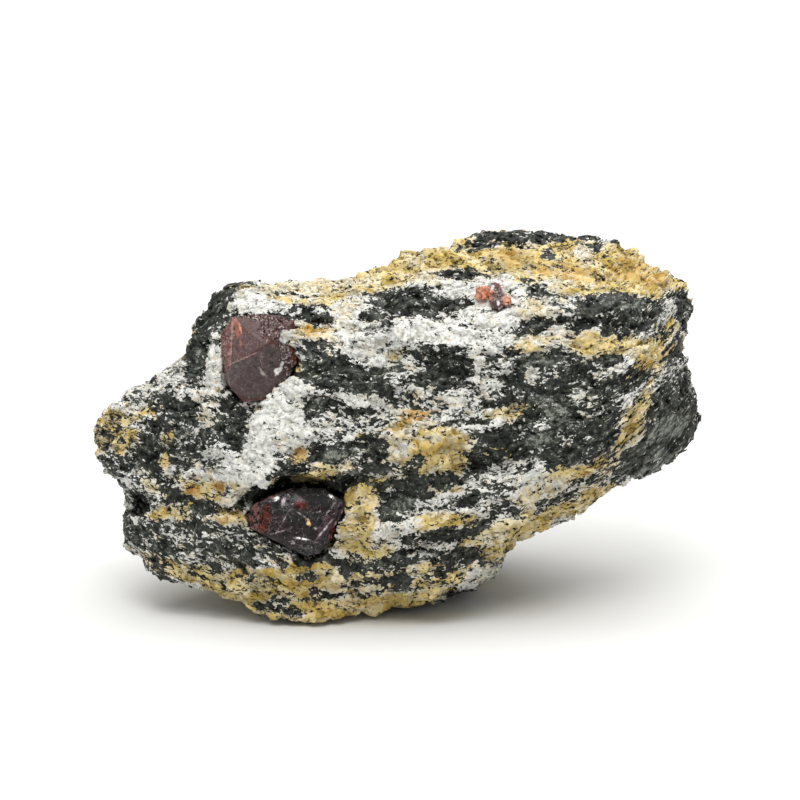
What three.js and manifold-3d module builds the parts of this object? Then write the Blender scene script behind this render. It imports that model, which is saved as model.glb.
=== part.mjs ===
// Zircon crystals in a broken block of banded biotite gneiss, a hand specimen of 84 mm. Millimetres, +Z up.
// The block is one stone. It is shaped from its front profile, which leans back, and from the broken faces in
// front of and behind that profile. Each zircon is a solid of its own and sits in a socket that fits it.
import * as THREE from "three";
import { ConvexGeometry } from "three/addons/geometries/ConvexGeometry.js";
import { mergeVertices } from "three/addons/utils/BufferGeometryUtils.js";
import { SimplexNoise } from "three/addons/math/SimplexNoise.js";
import Module from "manifold-3d";

const wasm = await Module();
wasm.setup();

// ---- Driving dimensions ----
const LEAN = THREE.MathUtils.degToRad(14); // how far the profile plane leans back from upright
const MIDDLE = new THREE.Vector2(0, 27); // u, w of the point that the block swells from
const SQUARENESS = 2.6; // 2 is an ellipsoid, and more is a squarer block
const SOLE_SQUARENESS = 2.4; // how much squarer the underside is
const SWELL_FRONT = 27; // how far the block reaches before its broken faces cut it, to the front
const SWELL_BACK = 25; // and to the back
const WORN_TURN = [-10, -7, -4, 0, 4, 7, 10]; // degrees over which corners of the outline wear off
const WEAR_FRONT = 0.03; // the share of its reach that the block has lost in front of its widest line
const WEAR_BACK = 0.08; // and behind it
const EDGE_ROUND = 2.2; // how round an edge between two broken faces is
const SIDE_SINK = 1.1; // how far the rough sides lie inside the outline, so that no lump stands out of it
const EVEN_OUT = { times: 2, share: 0.4 }; // takes the mesh's own zigzag off the edges
const MESH_DETAIL = 19; // rows of triangles on each side of the first icosahedron
const BASE_CUT = 3.1; // height of the flat that the stone rests on, above the foot of the profile plane
const SHIFT = [-0.19, -6.01]; // x and y that bring the middle of the block over the origin
const SOCKET_GAP = 0.3; // between a crystal and its socket
const BROKEN_SOCKET = 0.62; // how much wider a broken crystal's socket is on every side of its bounding box
const SHORT_OF_FACE = 0.25; // the share of a zircon's prism edge that its second prism takes off
const ZIRCON_C_OVER_A = 0.906; // the slope of zircon's pyramid faces

// How deep the widest line round the block lies, every 30 degrees anticlockwise from its right end.
const RIM_DEPTHS = [-3, 3, 7, 5, 1, -1, -5, -7, -12, -9, -1, -3];

// The block's outline in the profile plane: u to the right, w up the plane.
const PROFILE = [
  [-41.8, 25.3], [-40.8, 28.4], [-39.1, 30.5], [-35.6, 32.6], [-31.5, 34.8], [-29.3, 36.4], // left shoulder
  [-28.8, 39.3], [-27.0, 42.2], [-25.3, 45.5], [-21.9, 47.2], [-14.6, 46.8], [-9.1, 47.1], // upper left
  [-2.5, 48.9], [2.2, 51.5], [7.3, 51.8], [8.6, 53.1], [13.2, 54.8], [21.5, 54.1], // rise to the cap
  [28.8, 52.9], [33.1, 51.5], [37.5, 48.3], [40.7, 46.9], [42.0, 43.2], [39.7, 40.0], // stained corner
  [39.6, 37.4], [40.8, 33.5], [42.2, 29.1], [40.6, 23.9], [36.4, 20.4], [30.6, 18.8], // dark lens
  [28.2, 16.7], [24.0, 14.2], [18.1, 11.6], [14.5, 8.1], [12.7, 5.4], [8.1, 3.2], // right underside
  [1.2, 2.1], [-5.0, 1.2], [-10.5, 0.0], [-17.4, 1.1], [-22.9, 3.6], [-27.7, 5.7], // foot
  [-32.6, 6.1], [-35.9, 9.8], [-38.1, 12.7], [-36.4, 16.3], [-38.0, 18.9], [-41.1, 22.2], // left notch
];

// Broken faces, each a plane through (u, w) that stands `reach` out of the profile plane and slopes by
// `du` and `dw` for a millimetre along u and w. The stone lies behind all of them.
const FRONT_FACES = [
  { u: 0, w: 25, reach: 20.5, du: 0.02, dw: 0.02 }, // main face
  { u: 10, w: 45.6, reach: 18.4, du: 0.05, dw: -1.15 }, // stained bevel under the cap
  { u: -17, w: 41.0, reach: 16.4, du: 0.05, dw: -0.62 }, // bevel above the large zircon
  { u: 0, w: 7.0, reach: 16.6, du: -0.04, dw: 0.85 }, // bevel down to the foot
  { u: 20, w: 16.0, reach: 17.8, du: -0.28, dw: 0.5 }, // right underside
  { u: 18, w: 30, reach: 20.0, du: -0.14, dw: 0.0 }, // dark face
  { u: 34.5, w: 32, reach: 15.6, du: -1.3, dw: 0.1 }, // right end
  { u: -25, w: 34, reach: 17.4, du: 0.4, dw: -0.05 }, // left face
  { u: -32, w: 29.5, reach: 14.2, du: 1.1, dw: -0.95 }, // top of the left shoulder
  { u: -38.0, w: 25, reach: 10.5, du: 1.2, dw: 0.0 }, // left end
  { u: -31, w: 13, reach: 14.2, du: 0.45, dw: 0.5 }, // lower left
];
const BACK_FACES = [
  { u: 0, w: 28, reach: 21.5, du: 0.06, dw: -0.22 },
  { u: -4, w: 44, reach: 17.0, du: 0.1, dw: -1.2 },
  { u: 22, w: 30, reach: 19.5, du: -0.42, dw: -0.1 },
  { u: 34, w: 34, reach: 13.5, du: -1.3, dw: -0.25 },
  { u: -22, w: 27, reach: 18.0, du: 0.38, dw: 0.05 },
  { u: -34, w: 24, reach: 12.5, du: 1.1, dw: -0.3 },
  { u: 4, w: 9, reach: 20.0, du: -0.05, dw: 0.75 },
  { u: 26, w: 18, reach: 14.5, du: -0.6, dw: 0.8 },
  { u: -24, w: 10, reach: 15.0, du: 0.35, dw: 0.9 },
];

// Swellings and hollows of the two sides: an ellipse of that length and width, turned by `turn` degrees,
// which stands out by `rise`.
const FRONT_RELIEF = [
  { u: -17.2, w: 34, length: 13, width: 14, turn: 0, rise: -2.8 }, // seat of the large zircon
  { u: -12.8, w: 13.4, length: 17, width: 11, turn: 5, rise: -2.2 }, // seat of the dark zircon
  { u: -12, w: 20.8, length: 26, width: 5, turn: 12, rise: 1.1 }, // brow over that hollow
  { u: 28.8, w: 43.6, length: 13, width: 5.4, turn: -6, rise: 2.0 }, // block of dark mica
  { u: 25.4, w: 39.9, length: 18, width: 3.6, turn: -2, rise: -1.8 }, // cleft under it
  { u: 23, w: 31, length: 22, width: 13, turn: 4, rise: -1.2 }, // sunk dark face
  { u: 5.0, w: 24.2, length: 17, width: 8, turn: 3, rise: 1.6 }, // stained eye of feldspar
  { u: -14.5, w: 27.4, length: 11, width: 10, turn: -20, rise: 1.1 }, // white boss
  { u: 37.0, w: 27.2, length: 9, width: 13, turn: 10, rise: 1.6 }, // dark lens at the right end
  { u: 6.0, w: 18.8, length: 16, width: 4.4, turn: 22, rise: -1.5 }, // cleft below the eye
  { u: -26.6, w: 37.0, length: 5, width: 10, turn: 0, rise: -1.9 }, // step left of the large zircon
  { u: -32.0, w: 23.6, length: 9, width: 9, turn: 0, rise: -0.9 }, // dark hollow of the shoulder
  { u: -28.0, w: 17.0, length: 20, width: 3.6, turn: 10, rise: -1.2 }, // parting above the lower left
  { u: 11.0, w: 38.5, length: 16, width: 8, turn: -12, rise: 1.1 }, // white band
  { u: -4.5, w: 36.5, length: 14, width: 4.0, turn: -8, rise: -1.0 }, // dark hollow right of the zircon
  { u: -6.0, w: 9.0, length: 34, width: 3.4, turn: 8, rise: -1.0 }, // parting above the foot
];
const BACK_RELIEF = [
  { u: -20, w: 34, length: 16, width: 10, turn: 15, rise: 1.8 },
  { u: 8, w: 36, length: 26, width: 4.5, turn: -10, rise: -1.8 },
  { u: 14, w: 22, length: 18, width: 10, turn: 8, rise: 1.8 },
  { u: -8, w: 19, length: 22, width: 4.2, turn: 12, rise: -1.6 },
  { u: 29, w: 38, length: 10, width: 9, turn: 0, rise: -1.6 },
  { u: -30, w: 19, length: 10, width: 7, turn: -10, rise: 1.2 },
];

// Clefts and hollows with sharp edges, each an ellipsoid cut out of the front. `half` holds half its length,
// width and depth.
const POCKETS = [
  { at: [-12.6, 17.4], out: 21.5, half: [8.6, 3.0, 5.6], turn: 7 }, // over the dark zircon
  { at: [-19.6, 16.6], out: 20.0, half: [3.6, 1.7, 3.6], turn: 28 }, // left of it
  { at: [27.0, 40.4], out: 20.5, half: [6.5, 1.3, 4.5], turn: -3 }, // under the block of dark mica
  { at: [-36.0, 16.2], out: 13.0, half: [4.0, 1.2, 5.0], turn: 12 }, // left notch
];

// Flat breaks across the back and the ends: which way each faces (u, v, w), and how far its plane lies inside
// the furthest point that way.
const BREAKS = [
  { towards: [0.56, 0.81, 0.16], off: 3.6 }, // back right
  { towards: [-0.5, 0.85, 0.2], off: 4.2 }, // back left
  { towards: [0.05, 0.78, 0.62], off: 3.6 }, // top of the back
  { towards: [-0.15, 0.8, -0.58], off: 3.2 }, // foot of the back
  { towards: [0.5, -0.86, 0.1], off: 1.6 }, // right end, in front
  { towards: [-0.52, -0.84, -0.15], off: 1.6 }, // lower left, in front
];

// Ledges where the stone parted along its bands, and lumps where it broke across them.
const BAND_SPACING = 6.2;
const LEDGE_RISE = 1.8;
const LUMP_SIZE = 11;
const LUMP_RISE = 1.5;

// Colours of the finished stone and crystals.
const STONE = new THREE.MeshStandardMaterial({ color: 0x8d887c, roughness: 0.85, metalness: 0 });
const BROWN_ZIRCON = new THREE.MeshStandardMaterial({ color: 0x5e4140, roughness: 0.3, metalness: 0 });
const DARK_ZIRCON = new THREE.MeshStandardMaterial({ color: 0x3a1c1c, roughness: 0.15, metalness: 0 });
const RED_ZIRCON = new THREE.MeshStandardMaterial({ color: 0xb05a45, roughness: 0.3, metalness: 0 });

// ---- Solids ----

/** A seeded random number generator, so that the stone is the same each time. */
function seeded(seed) {
  let state = seed;
  return () => {
    state = (Math.imul(state, 1664525) + 1013904223) >>> 0;
    return state / 2 ** 32;
  };
}

/** A three.js geometry with positions only, and one vertex where several met. */
function weld(geometry) {
  const bare = geometry.clone();
  bare.deleteAttribute("normal");
  bare.deleteAttribute("uv");
  return mergeVertices(bare, 1e-4);
}

/** A closed three.js geometry as a solid that can be joined and cut. */
function solidOf(geometry) {
  const merged = weld(geometry);
  return new wasm.Manifold(
    new wasm.Mesh({
      numProp: 3,
      vertProperties: merged.attributes.position.array,
      triVerts: new Uint32Array(merged.index.array),
    }),
  );
}

/** The geometry of a solid, as flat facets. */
function geometryOf(solid) {
  const mesh = solid.getMesh();
  const geometry = new THREE.BufferGeometry()
    .setAttribute("position", new THREE.BufferAttribute(mesh.vertProperties, 3))
    .setIndex(new THREE.BufferAttribute(mesh.triVerts, 1))
    .toNonIndexed();
  geometry.computeVertexNormals();
  return geometry;
}

/** A named mesh of a solid. */
function part(name, solid, material) {
  const mesh = new THREE.Mesh(geometryOf(solid), material);
  mesh.name = name;
  return mesh;
}

/** Profile coordinates, with v into the stone's depth, to the upright frame. */
const upright = new THREE.Matrix4()
  .makeTranslation(...SHIFT, -BASE_CUT)
  .multiply(new THREE.Matrix4().makeRotationX(-LEAN));

// ---- The block ----

/** The outline as a closed polygon, smooth through the profile's points. */
function outlineOf(profile) {
  const knots = profile.map(([u, w]) => new THREE.Vector3(u, w, 0));
  return new THREE.CatmullRomCurve3(knots, true, "centripetal").getPoints(profile.length * 5);
}

/** How far it is from the middle to the outline in the direction `angle`. */
function radiusAt(outline, angle) {
  const [c, s] = [Math.cos(angle), Math.sin(angle)];
  let reach = 0;
  for (let i = 0; i < outline.length - 1; i++) {
    const [a, b] = [outline[i], outline[i + 1]];
    const [ax, ay, ex, ey] = [a.x - MIDDLE.x, a.y - MIDDLE.y, b.x - a.x, b.y - a.y];
    const across = c * ey - s * ex;
    if (Math.abs(across) < 1e-9) continue;
    const along = (ax * ey - ay * ex) / across;
    const share = (ax * s - ay * c) / across;
    if (share >= 0 && share <= 1 && along > reach) reach = along;
  }
  return reach;
}

/** The distances from the middle to the outline for each degree, and how far they keep away from the rim. */
function reachesOf(outline) {
  const degrees = Array.from({ length: 360 }, (_, degree) => degree);
  const rim = degrees.map((degree) => radiusAt(outline, THREE.MathUtils.degToRad(degree)));
  const around = (list, degree, pick) => pick(WORN_TURN.map((turn) => list[(degree + turn + 360) % 360]));
  const least = rim.map((_, degree) => around(rim, degree, (some) => Math.min(...some)));
  const mean = (some) => some.reduce((sum, one) => sum + one) / some.length;
  return { rim, worn: least.map((_, degree) => Math.min(rim[degree], around(least, degree, mean))) };
}

/** The value for an angle in a list with one for each degree. */
function valueAt(list, angle) {
  const degree = (THREE.MathUtils.radToDeg(angle) + 360) % 360;
  const before = Math.floor(degree) % 360;
  return THREE.MathUtils.lerp(list[before], list[(before + 1) % 360], degree - Math.floor(degree));
}

/** How deep the widest line round the block lies in the direction `angle`. */
const rimCurve = new THREE.CatmullRomCurve3(RIM_DEPTHS.map((depth) => new THREE.Vector3(depth, 0, 0)), true);
const rimDepth = (angle) => rimCurve.getPoint((angle / (2 * Math.PI) + 1) % 1).x;

/** The smaller of two reaches, with the edge between them rounded. */
function roundMin(a, b) {
  const h = Math.max(EDGE_ROUND - Math.abs(a - b), 0) / EDGE_ROUND;
  return Math.min(a, b) - (h * h * EDGE_ROUND) / 4;
}

/** How much a swelling or hollow lifts the surface at (u, w). */
function lift({ u: u0, w: w0, length, width, turn, rise }, u, w) {
  const t = THREE.MathUtils.degToRad(turn);
  const along = ((u - u0) * Math.cos(t) + (w - w0) * Math.sin(t)) / (length / 2);
  const across = ((w - w0) * Math.cos(t) - (u - u0) * Math.sin(t)) / (width / 2);
  return rise * (1 - THREE.MathUtils.smoothstep(Math.hypot(along, across), 0.35, 1.35));
}

/** The height of the band at (u, v, w): the bands are bowls at the foot and level off towards the top. */
function band(u, v, w) {
  const high = THREE.MathUtils.clamp(w / 45, 0, 1);
  return w - ((1 - high) * (u + 4) ** 2) / 110 + 0.12 * high * u + 0.15 * v;
}

/** The uneven edge of a stack of ledges, from -0.5 to 0.5: a slow climb and a quicker step back. */
function ledge(height) {
  const phase = height / BAND_SPACING - Math.floor(height / BAND_SPACING);
  return (phase < 0.7 ? phase / 0.7 : (1 - phase) / 0.3) - 0.5;
}

/** How far one side of the block reaches from the profile plane at (u, w). */
function reachOf(front, u, w, depth, rim) {
  const [swell, faces] = front ? [SWELL_FRONT, FRONT_FACES] : [SWELL_BACK, BACK_FACES];
  let reach = depth * swell + rim;
  for (const face of faces) {
    const plane = face.reach + face.du * (u - face.u) + face.dw * (w - face.w);
    reach = roundMin(reach, Math.max(plane, rim + EDGE_ROUND));
  }
  return reach;
}

/** Moves each vertex of a welded geometry a share of the way to its neighbours' middle, several times. */
function evenOut(geometry, { times, share }) {
  const { position } = geometry.attributes;
  const neighbours = Array.from({ length: position.count }, () => new Set());
  const corners = geometry.index.array;
  for (let i = 0; i < corners.length; i += 3)
    for (let k = 0; k < 3; k++) {
      neighbours[corners[i + k]].add(corners[i + ((k + 1) % 3)]);
      neighbours[corners[i + k]].add(corners[i + ((k + 2) % 3)]);
    }
  const pointAt = (_, i) => new THREE.Vector3().fromBufferAttribute(position, i);
  for (let round = 0; round < times; round++) {
    const before = Array.from({ length: position.count }, pointAt);
    before.forEach((point, i) => {
      const middle = new THREE.Vector3();
      for (const j of neighbours[i]) middle.add(before[j]);
      middle.divideScalar(neighbours[i].size);
      position.setXYZ(i, ...point.clone().lerp(middle, share));
    });
  }
  return geometry;
}

/** The block of stone, before crystals are let into it. */
function block() {
  const { rim: rimReach, worn: wornReach } = reachesOf(outlineOf(PROFILE));
  const noise = new SimplexNoise({ random: seeded(7) });
  const sphere = weld(new THREE.IcosahedronGeometry(1, MESH_DETAIL));
  const position = sphere.attributes.position;
  const at = new THREE.Vector3();
  for (let i = 0; i < position.count; i++) {
    at.fromBufferAttribute(position, i).normalize();
    const angle = Math.atan2(at.z, at.x);
    const outwards = Math.hypot(at.x, at.z);
    const sole = THREE.MathUtils.smoothstep(-at.z, 0.3, 0.7);
    const power = SQUARENESS + SOLE_SQUARENESS * sole;
    const stretch = (outwards ** power + Math.abs(at.y) ** power) ** (-1 / power);
    const depth = Math.abs(at.y) * stretch;
    const off = THREE.MathUtils.smoothstep(depth, 0.04, 0.5);
    const front = at.y < 0;
    const worn = (front ? WEAR_FRONT : WEAR_BACK) * off * (1 - sole);
    const lost = worn * (1 + noise.noise3d(2.4 * at.x, 2.4 * at.y, 2.4 * at.z));
    const radius = THREE.MathUtils.lerp(valueAt(rimReach, angle), valueAt(wornReach, angle), off * 0.9);
    const spread = radius * outwards * stretch * (1 - lost);
    const u = MIDDLE.x + spread * Math.cos(angle);
    const w = MIDDLE.y + spread * Math.sin(angle);

    const side = front ? -1 : 1;
    const rim = side * rimDepth(angle);
    let reach = reachOf(front, u, w, depth, rim);
    for (const shape of front ? FRONT_RELIEF : BACK_RELIEF) reach += off * lift(shape, u, w);

    const v = side * reach;
    const lump = (size, rise) => rise * noise.noise3d(u / size, v / size, w / size);
    const rough = lump(LUMP_SIZE, LUMP_RISE) + lump(LUMP_SIZE / 2.2, LUMP_RISE / 2.5);
    const height = band(u, v, w) + 1.5 * noise.noise3d(u / 16, v / 16, 5);
    const sink = SIDE_SINK * (1 - THREE.MathUtils.smoothstep(depth, 0.5, 0.8));
    const rise = THREE.MathUtils.smoothstep(depth, 0.02, 0.25) * (rough + LEDGE_RISE * ledge(height) - sink);
    position.setXYZ(i, u + at.x * rise, v + at.y * rise, w + at.z * rise);
  }
  const leaning = solidOf(evenOut(sphere, EVEN_OUT).applyMatrix4(upright));
  const ground = new THREE.BoxGeometry(200, 200, 60).translate(0, 0, -30);
  const cut = BREAKS.reduce(broke, leaning).subtract(solidOf(ground));
  return POCKETS.map(pocket).reduce((rest, hollow) => rest.subtract(hollow), cut);
}

/** The stone without what lies beyond a flat break. */
function broke(stone, { towards, off }) {
  const facing = new THREE.Vector3(...towards).normalize().transformDirection(upright);
  const points = geometryOf(stone).attributes.position;
  const at = new THREE.Vector3();
  let furthest = -Infinity;
  for (let i = 0; i < points.count; i++) {
    furthest = Math.max(furthest, at.fromBufferAttribute(points, i).dot(facing));
  }
  const beyond = new THREE.BoxGeometry(200, 200, 60).translate(0, 0, 30 + furthest - off);
  return stone.subtract(solidOf(beyond.lookAt(facing)));
}

/** An ellipsoid to cut a cleft or hollow with. */
function pocket({ at, out, half: [length, width, depth], turn }) {
  const ball = new THREE.SphereGeometry(1, 18, 12).scale(length, depth, width);
  ball.rotateY(-THREE.MathUtils.degToRad(turn)).translate(at[0], -out, at[1]);
  return solidOf(ball.applyMatrix4(upright));
}

// ---- Zircons ----

/**
 * A zircon: a square prism with pyramids, whose long edges a second prism takes off.
 * @param halfWidth half the distance between two prism faces
 * @param halfLength half the prism's length, without its pyramids
 * @param grow how much larger every face stands, for a socket
 */
function zircon(halfWidth, halfLength, grow = 0) {
  const prism = (across, spin) => {
    const radius = across * Math.SQRT2;
    const tip = halfLength + grow + across * ZIRCON_C_OVER_A;
    const shoulder = halfLength + grow;
    const profile = [[0, -tip], [radius, -shoulder], [radius, shoulder], [0, tip]];
    const points = profile.map(([r, h]) => new THREE.Vector2(r, h));
    return solidOf(new THREE.LatheGeometry(points, 4).rotateY(spin));
  };
  const across = halfWidth + grow;
  return prism(across, Math.PI / 4).intersect(prism(across * Math.SQRT2 * (1 - SHORT_OF_FACE / 2), 0));
}

/**
 * Places a solid whose long axis is +Y.
 * @param at u, w of its middle in the profile plane
 * @param out how far its middle lies in front of the profile plane
 * @param turn degrees that its axis is turned in the profile plane, from +w towards -u
 * @param nod degrees that its upper end tips towards the back
 * @param spin degrees that it is turned about its own axis
 */
function placed(solid, { at, out, turn, nod, spin }) {
  const [spun, nodded, turned] = [spin, nod, turn].map(THREE.MathUtils.degToRad);
  const matrix = new THREE.Matrix4()
    .multiply(upright)
    .multiply(new THREE.Matrix4().makeTranslation(at[0], -out, at[1]))
    .multiply(new THREE.Matrix4().makeRotationY(-turned))
    .multiply(new THREE.Matrix4().makeRotationX(Math.PI / 2 - nodded))
    .multiply(new THREE.Matrix4().makeRotationY(spun));
  return solid.transform(matrix.elements);
}

// The two larger crystals are broken, so each is set out by its corners in the profile plane and by the faces
// in front of them. It narrows to `seat`, its end inside the stone.
const LARGE = {
  corners: [
    [-23.3, 39.0], [-22.1, 41.4], [-19.1, 41.9], [-15.9, 41.7], [-13.8, 41.0], [-13.2, 38.4], // top
    [-13.4, 35.7], [-14.1, 34.1], [-16.3, 32.7], [-17.8, 30.7], [-20.2, 30.4], [-21.9, 32.2], // foot
    [-22.7, 33.3], [-23.2, 36.8], [-22.2, 35.1], [-17.4, 37.9], [-15.6, 35.4], // left side and the ridge
  ],
  faces: [
    { u: -19.9, w: 36.4, reach: 18.8, du: 0.14, dw: -0.62 }, // broken upper face
    { u: -19.9, w: 36.4, reach: 18.8, du: -0.12, dw: 0.05 }, // bright lower face
    { u: -22.2, w: 36.0, reach: 18.3, du: 2.2, dw: 0.1 }, // grooved left side
    { u: -15.6, w: 36.0, reach: 17.7, du: -0.6, dw: 0.1 }, // right side
  ],
  seat: { at: [-18.4, 36.0], out: 8, narrow: 0.6 },
};
const DARK = {
  corners: [
    [-19.6, 15.1], [-19.0, 16.4], [-17.1, 17.5], [-14.0, 18.6], [-9.8, 18.6], [-7.2, 17.0], [-7, 15], // top
    [-8.2, 12.4], [-10.2, 10.2], [-12.0, 9.8], [-14.4, 11.3], [-17.4, 12.5], [-19.2, 13.4], // foot
    [-17.9, 16.8], [-18.5, 13.5], [-8.4, 16.8], [-10.5, 11.9], [-17.0, 12.9], // where faces meet
  ],
  faces: [
    { u: -13.2, w: 14.2, reach: 18.4, du: 0.02, dw: -0.15 }, // face to the front
    { u: -9.2, w: 14.2, reach: 18.4, du: -0.63, dw: 0.31 }, // grooved right face
    { u: -18.1, w: 15.0, reach: 18.2, du: 0.68, dw: -0.16 }, // left face
    { u: -14.0, w: 12.3, reach: 18.6, du: 0.12, dw: 0.69 }, // lower face
    { u: -13.0, w: 17.2, reach: 18.0, du: 0.05, dw: -0.6 }, // upper face
  ],
  seat: { at: [-13.2, 14.6], out: 8, narrow: 0.6 },
};
const CLUSTER = [
  { size: [0.95, 0.1], place: { at: [11.8, 44.8], out: 14.2, turn: 30, nod: 40, spin: 20 } },
  { size: [0.7, 1.5], place: { at: [13.4, 44.3], out: 14.6, turn: 12, nod: 40, spin: 30 } },
  { size: [0.6, 0.4], place: { at: [14.6, 43.8], out: 15.2, turn: 15, nod: 35, spin: 0 } },
];

/** A crystal set out by its corners and faces, with its bounding box grown by `grow` on every side. */
function broken({ corners, faces, seat }, grow = 0) {
  const out = (u, w) => Math.min(...faces.map((f) => f.reach + f.du * (u - f.u) + f.dw * (w - f.w)));
  const points = corners.flatMap(([u, w]) => {
    const [seatU, seatW] = [u, w].map((x, i) => THREE.MathUtils.lerp(seat.at[i], x, seat.narrow));
    return [new THREE.Vector3(u, -out(u, w), w), new THREE.Vector3(seatU, -seat.out, seatW)];
  });
  const box = new THREE.Box3().setFromPoints(points);
  const [middle, size] = [box.getCenter(new THREE.Vector3()), box.getSize(new THREE.Vector3())];
  const scale = size.clone().addScalar(2 * grow).divide(size);
  const grown = points.map((point) => point.sub(middle).multiply(scale).add(middle));
  return solidOf(new ConvexGeometry(grown).applyMatrix4(upright));
}

/** The small zircons that grew into each other, as one solid. */
function cluster(grow = 0) {
  return CLUSTER.map(({ size, place }) => placed(zircon(...size, grow), place)).reduce((a, b) => a.add(b));
}

const large = (grow) => broken(LARGE, grow);
const dark = (grow) => broken(DARK, grow);

const sockets = [large(BROKEN_SOCKET), dark(BROKEN_SOCKET), cluster(SOCKET_GAP)];
const stone = sockets.reduce((rest, socket) => rest.subtract(socket), block());

const specimen = new THREE.Group();
specimen.add(part("matrix", stone, STONE));
specimen.add(part("zircon_large", large(0), BROWN_ZIRCON));
specimen.add(part("zircon_dark", dark(0), DARK_ZIRCON));
specimen.add(part("zircon_small_cluster", cluster(0), RED_ZIRCON));
export default specimen;
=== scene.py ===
"""Zircon crystals in a broken block of banded gneiss, dressed around the fixed CAD frame.

The script works in millimetres and writes its meshes in metres. `u`, `v` and `w` are the front frame: u to
the right, w up the plane that the block's front profile is drawn in, and v away from the front. Where a noise
is read at `flow + 60` or the like, the number only picks another part of the same noise.
"""

import logging
import math
from dataclasses import dataclass
from enum import Enum
from itertools import product
from typing import Any

import bmesh
import bpy
import numpy as np
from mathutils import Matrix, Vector
from mathutils.bvhtree import BVHTree


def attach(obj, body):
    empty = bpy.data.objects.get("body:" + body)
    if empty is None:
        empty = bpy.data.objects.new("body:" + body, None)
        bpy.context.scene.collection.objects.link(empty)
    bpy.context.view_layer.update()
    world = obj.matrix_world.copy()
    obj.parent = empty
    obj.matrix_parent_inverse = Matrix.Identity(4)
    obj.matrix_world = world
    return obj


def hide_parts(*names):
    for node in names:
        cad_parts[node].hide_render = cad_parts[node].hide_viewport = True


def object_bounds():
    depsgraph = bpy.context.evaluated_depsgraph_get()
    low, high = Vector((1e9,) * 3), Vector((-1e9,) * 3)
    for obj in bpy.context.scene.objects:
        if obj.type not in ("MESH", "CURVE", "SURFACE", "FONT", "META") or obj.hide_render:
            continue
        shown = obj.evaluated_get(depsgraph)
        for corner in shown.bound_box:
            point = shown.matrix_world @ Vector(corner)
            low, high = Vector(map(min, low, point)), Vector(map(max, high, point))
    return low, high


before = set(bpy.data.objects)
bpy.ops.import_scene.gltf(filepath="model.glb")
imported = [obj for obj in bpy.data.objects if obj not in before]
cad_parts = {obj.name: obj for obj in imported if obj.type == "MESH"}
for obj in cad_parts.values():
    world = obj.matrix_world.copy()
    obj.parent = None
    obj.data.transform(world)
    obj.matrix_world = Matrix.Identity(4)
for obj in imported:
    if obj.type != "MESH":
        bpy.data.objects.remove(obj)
CAD_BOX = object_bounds()
MM = 0.001  # a millimetre in Blender's metres
Size = tuple[float, float, float]  # millimetres along, through and across the bands
TABLE = 256  # random values behind a noise, a power of two, so that `&` wraps the number of a cell
log = logging.getLogger("zircon")


# ---- Places ----


@dataclass(frozen=True)
class FrontFrame:
    """The frame that the block's front profile is drawn in, which leans back from upright."""

    lean: float = math.radians(14)
    shift: tuple[float, float] = (-0.19, -6.01)  # the x and y of its origin in the row frame
    base: float = 3.1  # how far its origin lies under the ground

    def to_front(self, row: np.ndarray) -> np.ndarray:
        """Turns upright coordinates into front ones.

        Args:
            row: points in the row frame, one a line, in millimetres.

        Returns:
            The same points as u, v, w.
        """
        x, y, z = row[:, 0] - self.shift[0], row[:, 1] - self.shift[1], row[:, 2] + self.base
        c, s = math.cos(self.lean), math.sin(self.lean)
        return np.stack([x, y * c - z * s, y * s + z * c], axis=1)

    def to_row(self, front: np.ndarray) -> np.ndarray:
        """Turns front coordinates into upright ones.

        Args:
            front: points as u, v, w, one a line, in millimetres.

        Returns:
            The same points in the row frame.
        """
        c, s = math.cos(self.lean), math.sin(self.lean)
        u, v, w = front[:, 0], front[:, 1], front[:, 2]
        y, z = v * c + w * s, w * c - v * s
        return np.stack([u + self.shift[0], y + self.shift[1], z - self.base], axis=1)


FRONT = FrontFrame()


@dataclass(frozen=True)
class Noise:
    """Smooth gradient noise, the same on every run."""

    seed: int
    gain: float = 1.7  # brings its values to about -1 to 1

    def __call__(self, points: np.ndarray, size: float | Size) -> np.ndarray:
        """Reads the noise.

        Args:
            points: places, one a line, in millimetres.
            size: millimetres between two lumps, the same all ways or one for each.

        Returns:
            A value for each place.
        """
        random = np.random.default_rng(self.seed)
        order = np.tile(random.permutation(TABLE), 2)
        slopes = random.normal(size=(TABLE, 3))
        slopes /= np.linalg.norm(slopes, axis=1, keepdims=True)
        scaled = points / np.asarray(size)
        cell = np.floor(scaled).astype(int)
        part = scaled - cell
        fade = part**3 * (part * (part * 6 - 15) + 10)
        total = np.zeros(len(points))
        for corner in product((0, 1), repeat=3):
            i, j, k = ((cell + corner) & (TABLE - 1)).T
            slope = slopes[order[order[order[i] + j] + k]]
            weight = np.where(corner, fade, 1 - fade).prod(axis=1)
            total += weight * ((part - corner) * slope).sum(axis=1)
        return total * self.gain


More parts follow.
